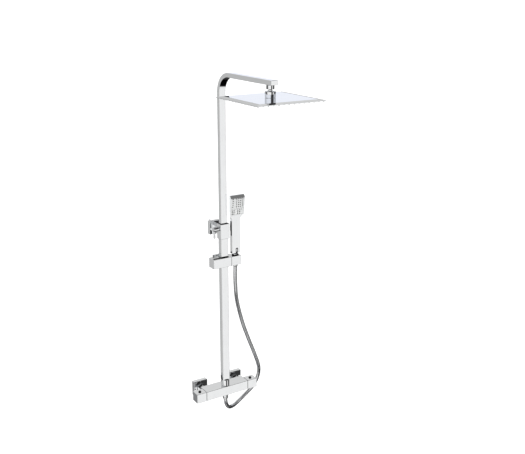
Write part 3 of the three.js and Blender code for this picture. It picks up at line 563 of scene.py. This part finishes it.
def make_valve(mats):
    low, high = in_mm(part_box("valve_body"))
    back = -42
    body = block("valve_bar", (low.x, low.y, -HALF_VALVE), (high.x, back, HALF_VALVE), 1.1, 4)
    for side in (-1, 1):
        place = (side * INLET_X, 0, 0)
        stub = turned(
            "stub",
            [(14.2, back - 0.5), (14.2, back + 0.6), (12, back + 1.4), (12, -37.6), (13, -37.4),
             (13, -33), (7, -33), (7, -60)],
            place,
            "y",
        )
        fuse(body, stub)
    spigot = turned(
        "spigot",
        [(12, HALF_VALVE - 1), (12, HALF_VALVE + 13), (7, HALF_VALVE + 13), (7, HALF_VALVE - 0.5)],
        (0, AXIS_Y, 0),
    )
    fuse(body, spigot)
    # The ends are bored for the cartridges, and the underside for the outlet.
    for side in (-1, 1):
        for radius, near, far in ((14.6, 77.5, 91), (11, 20, 90)):
            cut(body, rod(radius, sorted((side * near, side * far)), (0, AXIS_Y, 0), "x"))
    cut(body, rod(8.2, (-19, 0), (0, AXIS_Y, 0)))
    finish(body, "column", "chrome", mats["chrome"], "valve_body")

    nipple = turned(
        "outlet_nipple",
        [(5.5, -12.5), (7.7, -12.5), (7.7, -18.3), (9.4, -18.3), (9.4, -19.2),
         *thread_rings(9, -19.4, -31.4, 6), (5.5, -32), (5.5, -13)],
        (0, AXIS_Y, 0),
    )
    finish(nipple, "column", "chrome", mats["chrome"], "bottom_outlet_nipple")


def thread_rings(radius, start, end, count, depth=0.5):
    """The rings of a thread's crests and roots, from start to end."""
    pitch = (end - start) / count
    rings = []
    for i in range(count):
        rings.append((radius - depth, start + pitch * i))
        rings.append((radius, start + pitch * (i + 0.4)))
        rings.append((radius, start + pitch * (i + 0.6)))
    rings.append((radius - depth, end))
    return rings


def make_knobs(mats):
    low, high = in_mm(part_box("temperature_knob"))
    knob = block("right_knob", low, high, 1.1, 4)
    hollow = rod(12.5, (low.x - 1, low.x + 26), (0, AXIS_Y, 0), "x")
    button_low, button_high = in_mm(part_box("temperature_stop_button"))
    x = (button_low.x + button_high.x) / 2
    well = turned(
        "well",
        [(5.45, 9), (5.45, 17.4), (6.1, 18.05), (6.1, 20)],
        (x, AXIS_Y, 0),
    )
    wide = rod(7.2, (6.5, 15), (x, AXIS_Y, 0))
    cut(knob, hollow, well, wide)
    # A rib of the hub that grips the cartridge's stem.
    hub = turned(
        "hub",
        [(7, 105), (7, 126), (4.5, 126), (4.5, 106)],
        (0, AXIS_Y, 0),
        "x",
    )
    cut(hub, rod(7.3, (5, 12), (x, AXIS_Y, 0)))
    join(knob, hub)
    finish_both(knob, "left_knob", "chrome", mats["chrome"], ("temperature_knob",) * 2, ("flow_knob",) * 2)

    top = button_high.z
    button = turned(
        "right_button",
        [(6.4, 10.4), (6.6, 10.6), (6.6, 14.4), (6.4, 14.6), (5, 14.6), (5, top - 0.5),
         (4.6, top - 0.1), (4.2, top), (3.6, top - 0.05), (2.4, top - 0.35), (1.0, top - 0.5),
         (0.2, top - 0.52)],
        (x, AXIS_Y, 0),
    )
    finish_both(
        button,
        "left_button",
        "black_plastic",
        mats["black_plastic"],
        ("temperature_stop", "temperature_stop_button"),
        ("flow_stop", "flow_stop_button"),
    )


def make_inlets(mats):
    cover = wall_cover("right_wall_cover", *in_mm(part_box("wall_flange_right")), 1.8, 2, 0.8)
    cut(cover, rod(13.8, (-18, 0), (INLET_X, 0, 0), "y"))
    covers = (("column", "wall_flange_right"), ("column", "wall_flange_left"))
    finish_both(cover, "left_wall_cover", "chrome", mats["chrome"], *covers)

    # The nut: six flats, its corners turned off at both ends.
    front, back = -41.6, -20
    nut = rod(17, (front, back), (INLET_X, 0, 0), "y", sides=6)
    soften(nut, 0.5, 2)
    crown = turned(
        "crown",
        [(14.6, front - 0.01), (16.9, front + 1.4), (16.9, back - 1.4), (14.6, back + 0.01)],
        (INLET_X, 0, 0),
        "y",
        72,
    )
    combine(nut, crown, "INTERSECT")
    cut(nut, rod(12.4, (front - 1, front + 5), (INLET_X, 0, 0), "y"))
    cut(nut, rod(13.4, (front + 4, back + 1), (INLET_X, 0, 0), "y"))
    nut.name = "right_inlet_nut"
    nuts = (("column", "inlet_union_nut_right"), ("column", "inlet_union_nut_left"))
    finish_both(nut, "left_inlet_nut", "chrome", mats["chrome"], *nuts)

    union = turned(
        "right_union",
        [(7.5, -10), (7.5, -30), (13, -30), (13, -5), (12.2, -4), (6, -4)],
        (INLET_X, 0, 0),
        "y",
    )
    tail = turned(
        "tail",
        [(9.6, -5), *thread_rings(10.3, -3.6, 15, 9), (9, 16), (5.5, 16), (5.5, 2)],
        (INLET_X, 0, 6),
        "y",
    )
    join(union, tail)
    unions = (("column", "eccentric_union_right"), ("column", "eccentric_union_left"))
    finish_both(union, "left_union", "steel", mats["satin_steel"], *unions)


# ---------------------------------------------------------------- riser

def make_riser(mats):
    low, high = in_mm(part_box("riser_union_nut"))
    radius = (high.x - low.x) / 2
    nut = turned(
        "riser_nut",
        [(9.9, low.z + 20), (12.5, low.z + 19), (12.5, low.z), (radius - 1.6, low.z),
         (radius - 0.6, low.z + 0.5), (radius, low.z + 1.6), (radius, high.z - 2.2),
         (radius - 0.5, high.z - 0.9), (radius - 1.8, high.z), (9.9, high.z), (9.9, low.z + 21)],
        (0, AXIS_Y, 0),
        sides=72,
    )
    finish(nut, "column", "chrome", mats["chrome"], "riser_union_nut")

    low, high = in_mm(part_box("lower_tube"))
    tube = block("lower_riser", low, high)
    edit(tube)
    round_uprights(tube, 1.7, 5)
    pick_faces(tube, lambda face: abs(face.normal.z) > 0.9)
    bpy.ops.mesh.delete(type="FACE")
    leave_edit()
    wall = tube.modifiers.new("wall", "SOLIDIFY")
    wall.thickness = 1.5 * MM
    wall.offset = -1
    apply(tube, wall)
    finish(tube, "column", "chrome", mats["chrome"], "lower_tube")

    make_arm(mats)


def make_arm(mats):
    """The upper tube: a bar drawn up, bent forwards round a centre, and drawn out into the arm."""
    low, high = in_mm(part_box("upper_tube"))
    depth = 15.5
    radius = 75.5  # of the outside of the bend
    back = AXIS_Y + depth / 2
    centre = metres((0, back - radius, high.z - radius))
    tube = block("upper_riser", (low.x, back - depth, low.z), (high.x, back, high.z - radius))
    edit(tube)
    round_uprights(tube, 1.3, 4)
    pick_faces(tube, faces_towards(2, 1))
    bpy.ops.mesh.spin(steps=40, angle=-math.pi / 2, center=centre, axis=(1, 0, 0))
    leave_edit()
    edit(tube)
    pick_faces(tube, lambda face: face.normal.y < -0.99 and face.calc_center_median().z > centre.z + 0.01)
    reach = low.y * MM - centre.y
    bpy.ops.mesh.extrude_region_move(TRANSFORM_OT_translate={"value": (0, reach, 0)})
    leave_edit()
    finish(tube, "upper_column", "chrome", mats["chrome"], "upper_tube")

    low, high = in_mm(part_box("arm_end_cap"))
    cap = block("arm_cap", low, (high.x, low.y + 3, high.z), 0.9, 4)
    plug = block("plug", (low.x + 2, low.y + 2.6, low.z + 2), (high.x - 2, high.y, high.z - 2), 0.6)
    join(cap, plug)
    finish(cap, "upper_column", "chrome", mats["chrome"], "arm_end_cap")


# ---------------------------------------------------------------- wall bracket

def make_bracket(mats):
    low, high = in_mm(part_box("bracket_wall_cover"))
    cover = wall_cover("bracket_cover", low, high, 1.2, 2.5, 0.6)
    middle = (low.z + high.z) / 2
    hole = block("hole", (-11.4, low.y - 1, middle - 13.4), (11.4, 0, middle + 13.4), 0.8)
    cut(cover, hole)
    finish(cover, "column", "chrome", mats["chrome"], "bracket_wall_cover")

    neck = block("bracket_arm", (-11, -63.3, middle - 13), (11, -2, middle + 13), 1, 4)
    plate = block("plate", (-16, -4, middle - 22), (16, 0, middle + 22), 0.6, 2)
    for side in (-1, 1):
        cut(plate, rod(2.6, (-6, 2), (0, 0, middle + side * 18), "y", 32))
    join(neck, plate)
    finish(neck, "column", "chrome", mats["chrome"], "bracket_neck")

    for node, side in (("wall_screw_upper", 1), ("wall_screw_lower", -1)):
        screw = turned(
            node.replace("wall_screw", "fixing_screw"),
            [(1.2, -6), (1.4, -7.2), (3, -7.2), (4, -6.4), (4.2, -5.4), (4.2, -4.3), (2.2, -4.2),
             *thread_rings(2.2, -2, 25, 16, 0.4), (1.2, 28), (0.3, 30)],
            (0, 0, middle + side * 18),
            "y",
            24,
        )
        finish(screw, "column", "steel", mats["satin_steel"], node)

    low, high = in_mm(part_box("bracket_collar"))
    collar = block("riser_collar", low, high, 1.3, 4)
    lower = block("hole", (-15.4, AXIS_Y - 9.9, low.z - 1), (15.4, AXIS_Y + 9.9, 640.5))
    upper = block("hole", (-13.2, AXIS_Y - 8.2, low.z), (13.2, AXIS_Y + 8.2, high.z + 1))
    cut(collar, lower, upper, rod(4.4, (-30, -10), (0, AXIS_Y, LOCK_Z), "x", 32))
    finish(collar, "column", "chrome", mats["chrome"], "bracket_collar")
    # The dark lining closes the gap round the upper tube at the collar's mouth.
    lining = block("collar_lining", (-17, low.y + 1.3, high.z - 0.8),
                   (17, high.y - 1.3, high.z + 0.4), 0.3, 2)
    cut(lining, block("hole", (-13, AXIS_Y - 8, low.z), (13, AXIS_Y + 8, high.z + 1)))
    finish(lining, "column", "black_plastic", mats["black_plastic"])
    make_lever(mats)


def make_lever(mats):
    low, high = in_mm(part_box("height_lock_lever"))
    hub_radius = 8.5
    hub_in = -19.2
    hub = turned(
        "lock_lever",
        [(hub_radius - 2.2, low.x), (hub_radius - 1.2, low.x + 0.3), (hub_radius - 0.4, low.x + 0.9),
         (hub_radius, low.x + 1.8), (hub_radius, hub_in - 2.4), (hub_radius - 0.7, hub_in - 2),
         (hub_radius - 0.7, hub_in - 1.4), (hub_radius, hub_in - 1), (hub_radius - 0.4, hub_in - 0.2),
         (hub_radius - 1, hub_in), (3.9, hub_in), (3.9, high.x - 0.5), (3.4, high.x)],
        (0, AXIS_Y, LOCK_Z),
        "x",
        64,
    )
    end = low.z
    pin = turned(
        "pin",
        [(2.2, end), (3.0, end + 0.4), (3.6, end + 1.4), (3.5, end + 4), (2.9, LOCK_Z - 7),
         (3.2, LOCK_Z - 3)],
        (-35.8, AXIS_Y, 0),
    )
    fuse(hub, pin)
    finish(hub, "lock_lever", "chrome", mats["chrome"], "height_lock_lever")


# ---------------------------------------------------------------- slider and holder

def make_slider(mats):
    z = 518.5
    half = 17.65
    low, high = Corner(-51, -95, z - half), Corner(23.4, -58.5, z + half)
    body = block("slider_block", low, high, 1.1, 4)
    pocket = block("pocket", (-48, -92, high.z - 7), (14, -79, high.z + 1))
    hole = block("hole", (-17.5, AXIS_Y - 12, low.z - 1), (17.5, AXIS_Y + 12, high.z + 1))
    boss = turned(
        "boss",
        [(6, high.x - 2), (6, high.x + 6.6), (5.6, high.x + 7)],
        (0, AXIS_Y, z),
        "x",
    )
    cut(body, pocket, hole)
    fuse(body, boss)
    finish(body, "slider", "chrome", mats["chrome"], "slider_body")

    guide_low, guide_high = in_mm(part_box("slider_guide"))
    ring = block("slider_lining", (-17.2, AXIS_Y - 11.7, guide_low.z),
                 (17.2, AXIS_Y + 11.7, guide_high.z), 0.4, 2)
    tray = block("tray", (-47.7, -91.7, high.z - 6.7), (13.7, -79.3, high.z + 0.3), 0.6, 3)
    fuse(ring, tray)
    cut(ring, block("hole", (-15.4, AXIS_Y - 9.9, low.z - 1), (15.4, AXIS_Y + 9.9, high.z + 1)))
    finish(ring, "slider", "black_plastic", mats["black_plastic"], "slider_guide")

    plate_low, plate_high = in_mm(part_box("slider_back_plate"))
    plate = block("brake_plate", plate_low, plate_high, 1.2, 4)
    finish(plate, "slider", "chrome", mats["chrome"], "slider_back_plate")
    for node in ("slider_screw_left", "slider_screw_right"):
        screw_low, screw_high = in_mm(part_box(node))
        place = ((screw_low.x + screw_high.x) / 2, 0, (screw_low.z + screw_high.z) / 2)
        back = screw_high.y
        screw = turned(
            node.replace("slider_screw", "brake_screw"),
            [(3.3, screw_low.y), (3.6, screw_low.y + 0.3), (3.5, back - 0.9), (2.8, back - 0.2),
             (1.9, back)],
            place,
            "y",
        )
        cut(screw, rod(1.5, (back - 1.2, back + 1), place, "y", 6))
        finish(screw, "slider", "steel", mats["satin_steel"], node)

    low, high = in_mm(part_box("handset_holder"))
    holder = block("handset_cradle", low, high, 1.1, 4)
    x, y = HANDLE_X, HANDLE_Y
    socket = turned(
        "socket",
        [(9.6, low.z - 1), (10.9, high.z - 1.2), (11.8, high.z + 0.2), (11.8, high.z + 1)],
        (x, y, 0),
        sides=64,
    )
    slot = block("slot", (x - 7.7, y, low.z - 1), (x + 7.7, high.y + 1, high.z + 1))
    pivot = rod(6.4, (low.x - 1, low.x + 7.4), (0, AXIS_Y, z), "x")
    cut(holder, pivot, socket, slot)
    finish(holder, "holder", "chrome", mats["chrome"], "handset_holder")

    top = high.z
    bush = turned(
        "cradle_bush",
        [(11.1, top - 0.8), (12.4, top - 0.8), (12.8, top - 0.2), (12.8, top + 3.6), (12.2, top + 4.2),
         (11.1, top + 4.2)],
        (x, y, 0),
        sides=64,
    )
    cut(bush, block("slot", (x - 7.7, y, low.z), (x + 7.7, high.y + 5, high.z + 9)))
    finish(bush, "holder", "black_plastic", mats["black_plastic"])


# ---------------------------------------------------------------- handset

def make_handset(mats):
    """The handle drawn up, spread sideways into the neck, then forwards and up into the leaning head."""
    box_low, box_high = in_mm(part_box("handset_body"))
    half = 17.75
    front, back = -91, -77
    head_back = -86
    neck_z, head_z, top_z = 677, 691, box_high.z
    chamfer_z = top_z - 10
    face_y = front - 7.5
    edge_y = face_y - (chamfer_z - head_z) * HEAD_LEAN
    body = block("handset_shell", (HANDLE_X - half, front, box_low.z), (HANDLE_X + half, back, neck_z))
    steps = [
        # height, half width, front, back
        (690, HEAD_HALF - 1, front, head_back),
        (head_z, HEAD_HALF, face_y, head_back),
        (chamfer_z, HEAD_HALF, edge_y, head_back - 5),
        (top_z, HEAD_HALF, edge_y + 8, head_back - 7),
    ]
    edit(body)
    z, wide, y0, y1 = neck_z, half, front, back
    pick_faces(body, faces_towards(2, 1))
    for height, across, near, far in steps:
        shift = (near + far - y0 - y1) / 2
        bpy.ops.mesh.extrude_region_move(TRANSFORM_OT_translate={"value": metres((0, shift, height - z))})
        bpy.ops.transform.resize(
            value=(across / wide, (far - near) / (y1 - y0), 1),
            center_override=metres((HANDLE_X, (near + far) / 2, height)),
        )
        z, wide, y0, y1 = height, across, near, far
    leave_edit()
    for side in (-1, 1):
        cut(body, back_corner(side, head_back, neck_z, top_z))
    soften(body, 1.2, 4, 5)
    # The arched recess in the handle's foot, the water's way in, and the spray face's recess.
    cut(body, arch("foot_recess", 4.8, box_low.z - 1, 566, front - 1, front + 2.4))
    cut(body, rod(3.4, (box_low.z - 1, 560), (HANDLE_X, -83.4, 0), sides=24))
    cut(body, leaning_slab("face_recess", 3.4, -4, 5, head_z, chamfer_z + 4, face_y))
    finish(body, "handset", "chrome", mats["chrome"], "handset_body")

    foot_z = box_low.z + 0.4
    lining = arch("foot_recess_lining", 4.4, foot_z, 565.4, front + 1.4, front + 2.2)
    finish(lining, "handset", "black_plastic", mats["black_plastic"])
    rib = arch("foot_recess_rib", 1.8, 551, 562, front + 0.3, front + 2)
    finish(rib, "handset", "chrome", mats["chrome"])
    make_spray_face(mats, head_z, chamfer_z + 4, face_y)

    inlet_low, inlet_high = in_mm(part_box("handset_inlet"))
    inlet = turned(
        "handset_tail",
        [(3.4, inlet_low.z + 3), (3.4, inlet_low.z), (8, inlet_low.z),
         *thread_rings(8.6, inlet_low.z + 0.8, inlet_high.z - 4, 6), (8.6, inlet_high.z - 2.6),
         (6.6, inlet_high.z - 1.8), (6.6, inlet_high.z)],
        (HANDLE_X, HANDLE_Y, 0),
    )
    finish(inlet, "handset", "black_plastic", mats["black_plastic"], "handset_inlet")


def back_corner(side, head_back, neck_z, top_z):
    """A wedge that cuts one of the head's two back corners away, so that it clears the riser's collar."""
    wedge = block("corner", (-20, -8, neck_z), (20, 8, top_z + 5))
    wedge.rotation_euler.z = -side * math.pi / 4
    inset = 4 - 8 * math.sqrt(0.5)
    wedge.location = metres((HANDLE_X + side * (HEAD_HALF - inset), head_back - inset, 0))
    settle(wedge)
    return wedge


def arch(name, half, low_z, high_z, near, far):
    """An arched block on the handle's axis line: square at its foot and half round at its head."""
    x = HANDLE_X + 2.5
    foot = block(name, (x - half, near, low_z), (x + half, far, high_z - half))
    fuse(foot, rod(half, (near, far), (x, 0, high_z - half), "y", 32))
    foot.name = name
    return foot


def leaning_slab(name, inset, near, far, foot_z, top_z, face_y, edge=0.0):
    """A slab parallel to the leaning spray face, between two depths behind it."""
    low, high = foot_z + inset, top_z - inset - 3
    half = HEAD_HALF - inset
    slab = block(name, (HANDLE_X - half, face_y + near, low), (HANDLE_X + half, face_y + far, high))
    edit(slab)
    for z, sign in ((low, -1), (high, 1)):
        pick_faces(slab, faces_towards(2, sign))
        bpy.ops.transform.translate(value=metres((0, -(z - foot_z) * HEAD_LEAN, 0)))
    leave_edit()
    if edge:
        soften(slab, edge, 3)
    return slab


def make_spray_face(mats, foot_z, top_z, face_y):
    """The spray face: a pale plate scored into fields, with rows of rubber nozzles."""
    plate = leaning_slab("spray_face", 3.7, -0.5, 4, foot_z, top_z, face_y, 0.5)

    def at(x, z, depth):
        return (HANDLE_X + x, face_y - (z - foot_z) * HEAD_LEAN + depth, z)

    grooves = [
        # x from, x to, z from, z to
        (-24, 24, 717, 718.1),
        (-14.6, -13.5, 718, 758),
        (-6.6, -5.5, 696, 717.5),
        (15.2, 16.3, 696, 723),
    ]
    for x0, x1, z0, z1 in grooves:
        groove = block("groove", at(x0, z0, -2), at(x1, z0, 0.5)[:2] + (z1,))
        edit(groove)
        middle = (z0 + z1) / 2 * MM
        pick_faces(groove, lambda face: face.calc_center_median().z > middle and face.normal.z > 0.9)
        bpy.ops.transform.translate(value=metres((0, -(z1 - z0) * HEAD_LEAN, 0)))
        leave_edit()
        cut(plate, groove)
    finish(plate, "handset", "grey_plastic", mats["pale_plastic"], "handset_face")

    upper_rows = spread(725, 754.6, 5)
    lower_rows = spread(698, 711, 3)
    upper = [at(x, z, -0.4) for x in (-20.5, -5.8, 2.9, 11, 19.4) for z in upper_rows]
    lower = [at(x, z, -0.4) for x in (-21, -14, 1.5, 9.5) for z in lower_rows]
    nozzle = turned(
        "nozzles",
        [(2, 0.8), (2, -0.6), (1.7, -1.1), (0.8, -1.3), (0.6, -0.7)],
        sides=10,
        axis="y",
    )
    nozzles = field_of(nozzle, "spray_nozzles", upper + lower, math.radians(8))
    finish(nozzles, "handset", "silicone", mats["grey_silicone"])


def spread(first, last, count):
    return [first + (last - first) * i / (count - 1) for i in range(count)]


def field_of(nozzle, name, places, lean=0.0):
    """A copy of the nozzle at each place, all of them one piece."""
    copies = []
    for place in places:
        made = copy_of(nozzle, "nozzle")
        made.rotation_euler.x = lean
        made.location = metres(place)
        copies.append(made)
    select_only(copies[0])
    for made in copies:
        made.select_set(True)
    bpy.ops.object.transform_apply(location=True, rotation=True, scale=True)
    bpy.data.objects.remove(nozzle, do_unlink=True)
    join(copies[0], *copies[1:])
    copies[0].name = name
    return copies[0]


# ---------------------------------------------------------------- rain head

def make_ball_joint(mats):
    nut_low, nut_high = 1177, 1189.9
    radius = 11
    ball = []
    for i in range(1, 15):
        angle = math.radians(-84 + i * 10)
        if radius * math.cos(angle) > 5.9 or angle < 0:
            ball.append((radius * math.cos(angle), BALL_Z + radius * math.sin(angle)))
    stem = turned(
        "ball_and_nut",
        [(3.5, BALL_Z), *ball, (6, nut_low - 2.2), (6.3, nut_low - 1), (7, nut_low), (11.6, nut_low),
         (12.5, nut_low + 0.3), (13, nut_low + 1.1), (13, nut_high - 1), (12.6, nut_high - 0.3),
         (11.8, nut_high), (7.6, nut_high), (7.6, nut_high + 6), (3.5, nut_high + 6)],
        (0, BALL_Y, 0),
        sides=64,
    )
    finish(stem, "upper_column", "chrome", mats["chrome"], "ball_stem")

    low, high = in_mm(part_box("ball_collar"))
    wide = (high.x - low.x) / 2
    foot = 1151  # the skirt reaches down to the plate
    collar = turned(
        "ball_cup",
        [(13.6, BALL_Z), (14.4, BALL_Z - 4), (14.4, foot), (wide - 0.8, foot), (wide, foot + 0.8),
         (wide, high.z - 2), (wide - 0.4, high.z - 0.9), (wide - 1.5, high.z), (11, high.z),
         (12.6, BALL_Z + 5), (13.6, BALL_Z + 0.1)],
        (0, BALL_Y, 0),
        sides=72,
    )
    finish(collar, "head_collar", "chrome", mats["chrome"], "ball_collar")


def make_head(mats):
    """The plate is a low frustum over a thin rim; nozzles stand in a grid under its face."""
    low, high = in_mm(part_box("head_face_plate"))
    half = 125
    rim_low, rim_high, top = low.z, 1147.8, 1150.6
    plate = block("head_plate", (-half, BALL_Y - half, rim_low), (half, BALL_Y + half, rim_high))
    edit(plate)
    pick_faces(plate, faces_towards(2, 1))
    bpy.ops.mesh.extrude_region_move(TRANSFORM_OT_translate={"value": metres((0, 0, top - rim_high))})
    shrink = (half - 17) / half
    bpy.ops.transform.resize(value=(shrink, shrink, 1), center_override=metres((0, BALL_Y, top)))
    pick_faces(plate, faces_towards(2, -1))
    bpy.ops.mesh.inset(thickness=4.6 * MM, depth=0)
    bpy.ops.transform.translate(value=(0, 0, 3 * MM))
    leave_edit()
    soften(plate, 0.45, 3, 6)
    neck = turned(
        "neck",
        [(8.4, top + 0.1), (13.9, top - 0.5), (13.9, 1155.2), (13.6, 1155.5), (8.4, 1155.5),
         (8.4, top + 0.3)],
        (0, BALL_Y, 0),
        sides=64,
    )
    join(plate, neck)
    finish(plate, "rain_head", "chrome", mats["chrome"], "head_top_plate")

    face = block("head_face", low, high)
    soften(face, 0.3, 2)
    finish(face, "rain_head", "steel", mats["satin_steel"], "head_face_plate")

    nozzle = turned(
        "rain_nozzles",
        [(2.2, 3.2), (2.2, -0.5), (1.8, -1.6), (0.9, -1.9), (0.7, -1.1)],
        sides=12,
    )
    rows = spread(-119.6, 119.6, 14)
    nozzles = field_of(nozzle, "rain_nozzles", [(x, BALL_Y + y, rim_low) for x in rows for y in rows])
    finish(nozzles, "rain_head", "silicone", mats["grey_silicone"])


# ---------------------------------------------------------------- hose ends

def make_hose_ends(mats):
    low, high = in_mm(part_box("hose_nut_valve_end"))
    wide = (high.x - low.x) / 2
    nut = turned(
        "outlet_nut",
        [(7.2, low.z + 1.2), (7.2, low.z), (8.4, low.z), (9.6, low.z + 0.8), (wide, low.z + 2.4),
         (wide, low.z + 7), (wide - 0.5, low.z + 7.5), (wide - 0.5, low.z + 8.2), (wide, low.z + 8.7),
         (wide, high.z - 1.2), (wide - 0.7, high.z), (9.5, high.z), (9.5, low.z + 4)],
        (0, AXIS_Y, 0),
        sides=64,
    )
    finish(nut, "column", "chrome", mats["chrome"], "hose_nut_valve_end")

    low, high = in_mm(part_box("hose_nut_handset_end"))
    cone = turned(
        "handset_nut",
        [(7.2, low.z + 1.2), (7.2, low.z), (7.6, low.z), (8.4, low.z + 1.2), (8.8, low.z + 3),
         (10.2, high.z - 3.4), (10.3, high.z - 1.6), (9.8, high.z - 0.4), (9.2, high.z),
         (8.95, high.z), (8.95, low.z + 33)],
        (HANDLE_X, HANDLE_Y, 0),
        sides=64,
    )
    finish(cone, "handset", "chrome", mats["chrome"], "hose_nut_handset_end")
    return nut, cone


# ---------------------------------------------------------------- what stays as the frame has it

def dress_inner_pieces(mats):
    """Pieces inside the column keep the frame's shape and get their finish."""
    finishes = {
        "machined_brass": (
            "thermostatic_cartridge",
            "cartridge_nut_right",
            "cartridge_nut_left",
            "riser_foot_spigot",
        ),
        "black_plastic": ("diverter_cartridge", "upper_tube_foot_plug", "ball_seat"),
        "black_rubber": (
            "inlet_filter_washer_right",
            "inlet_filter_washer_left",
            "riser_foot_washer",
            "telescope_seal",
            "ball_seal",
            "hose_washer_valve_end",
            "hose_washer_handset_end",
        ),
        "grey_silicone": ("handset_nozzle_mat", "head_nozzle_mat"),
    }
    for finish_name, nodes in finishes.items():
        for node in nodes:
            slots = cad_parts[node].data.materials
            slots.clear()
            slots.append(mats[finish_name])


# ---------------------------------------------------------------- studio

def ramp(tree, source, stops):
    """A colour ramp from (position, grey) or (position, (r, g, b)) stops."""
    node = tree.nodes.new("ShaderNodeValToRGB")
    elements = node.color_ramp.elements
    while len(elements) > 1:
        elements.remove(elements[-1])
    for i, (position, value) in enumerate(stops):
        element = elements[0] if i == 0 else elements.new(position)
        element.position = position
        rgb = (value, value, value) if isinstance(value, (int, float)) else value
        element.color = (*rgb, 1)
    link(tree, source, node.inputs["Fac"])
    return node.outputs["Color"]


def make_world():
    """A pale room with tall soft boxes and dark gaps between them, as a jeweller's tent has."""
    world = bpy.data.worlds.new("studio")
    bpy.context.scene.world = world
    world.use_nodes = True
    tree = world.node_tree
    background = tree.nodes["Background"]
    direction = tree.nodes.new("ShaderNodeTexCoord").outputs["Generated"]
    parts = tree.nodes.new("ShaderNodeSeparateXYZ")
    link(tree, direction, parts.inputs[0])
    # The heading: 0.5 is the front, 0.75 the right, 0.25 the left, and 0 and 1 the wall side.
    behind = math_node(tree, "MULTIPLY", parts.outputs["Y"], -1)
    turn = math_node(tree, "ARCTAN2", parts.outputs["X"], behind)
    heading = math_node(tree, "MULTIPLY_ADD", turn, 1 / (2 * math.pi))
    heading.node.inputs[2].default_value = 0.5

    def stop(degrees, value):
        return (degrees / 360 + 0.5, value)

    low_in_the_room = ramp(tree, heading, [
        stop(-180, 0.05), stop(-161, 0.05), stop(-157, 0.53), stop(-143, 0.53), stop(-136, 0.12),
        stop(-120, 0.05), stop(-102, 0.08), stop(-93, 0.88), stop(-30, 1.0), stop(-12, 0.92),
        stop(-9, 0.03), stop(20, 0.03), stop(23.5, 0.93), stop(41, 0.95), stop(45, 0.10),
        stop(100, 0.04), stop(180, 0.05),
    ])
    high_in_the_room = ramp(tree, heading, [
        stop(-180, 0.9), stop(-160, 0.62), stop(-140, 0.60), stop(-100, 0.85), stop(-60, 0.90),
        stop(-24, 0.85), stop(-16, 0.05), stop(38, 0.04), stop(45, 0.62), stop(62, 0.62),
        stop(90, 0.36), stop(115, 0.55), stop(136, 0.95), stop(160, 0.95), stop(180, 0.9),
    ])
    height_of = math_node(tree, "MULTIPLY_ADD", parts.outputs["Z"], 0.5)
    height_of.node.inputs[2].default_value = 0.5

    def height(z, value):
        return (z / 2 + 0.5, value)

    lavender = (0.955, 0.985, 1.07)
    bottom_to_top = ramp(tree, height_of, [
        height(-1, 0.015), height(-0.76, 0.02), height(-0.72, 0.9), height(-0.5, 1.0), height(0.0, 1.0),
        height(0.06, lavender), height(0.2, lavender), height(0.28, 0.61), height(0.38, 0.74),
        height(0.54, 0.78), height(0.62, 0.45), height(0.70, 0.32), height(0.88, 0.30),
        height(0.95, 0.70), height(1, 0.85),
    ])
    above = ramp(tree, height_of, [height(-0.04, 0.0), height(0.06, 1.0)])
    room = mixed(tree, above, low_in_the_room, high_in_the_room)
    room = mixed(tree, 1, room, bottom_to_top, "MULTIPLY")
    path = tree.nodes.new("ShaderNodeLightPath")
    seen = mixed(tree, path.outputs["Is Camera Ray"], room, (1, 1, 1, 1))
    link(tree, seen, background.inputs["Color"])


def make_studio():
    make_world()
    bpy.ops.mesh.primitive_plane_add(size=400, location=(0, 0, FLOOR_Z))
    floor = bpy.context.object
    floor.name = "floor"
    material, _, shader = new_material("pale_floor")
    shader.inputs["Base Color"].default_value = (0.9, 0.9, 0.9, 1)
    shader.inputs["Roughness"].default_value = 0.9
    shader.inputs["Emission Color"].default_value = (1, 1, 1, 1)
    shader.inputs["Emission Strength"].default_value = 0.25
    floor.data.materials.append(material)
    floor.visible_glossy = False

    bpy.ops.mesh.primitive_plane_add(size=1, location=(-0.36, 0.33, -0.23), rotation=(math.pi / 2, 0, 0))
    card = bpy.context.object
    card.name = "grey_card"
    card.scale = (0.17, 0.19, 1)
    material, _, shader = new_material("card_grey")
    shader.inputs["Base Color"].default_value = (0, 0, 0, 1)
    shader.inputs["Specular IOR Level"].default_value = 0
    shader.inputs["Emission Color"].default_value = (0.24, 0.24, 0.245, 1)
    shader.inputs["Emission Strength"].default_value = 1
    card.data.materials.append(material)
    for ray in ("camera", "diffuse", "transmission", "shadow"):
        setattr(card, f"visible_{ray}", False)

    data = bpy.data.lights.new("overhead", "SUN")
    data.energy = 2.6
    data.angle = math.radians(25)
    data.specular_factor = 0
    lamp = bpy.data.objects.new("overhead", data)
    lamp.rotation_euler = (math.radians(-14), math.radians(-8), 0)
    lamp.visible_glossy = False
    bpy.context.scene.collection.objects.link(lamp)
    bpy.context.scene.view_settings.view_transform = "Standard"


# ---------------------------------------------------------------- all together

def main():
    make_camera()
    mats = make_materials()
    hose = make_hose(mats["hose_steel"])
    make_valve(mats)
    make_knobs(mats)
    make_inlets(mats)
    make_riser(mats)
    make_bracket(mats)
    make_slider(mats)
    make_handset(mats)
    make_ball_joint(mats)
    make_head(mats)
    outlet_nut, handset_nut = make_hose_ends(mats)
    dress_inner_pieces(mats)
    make_studio()


main()
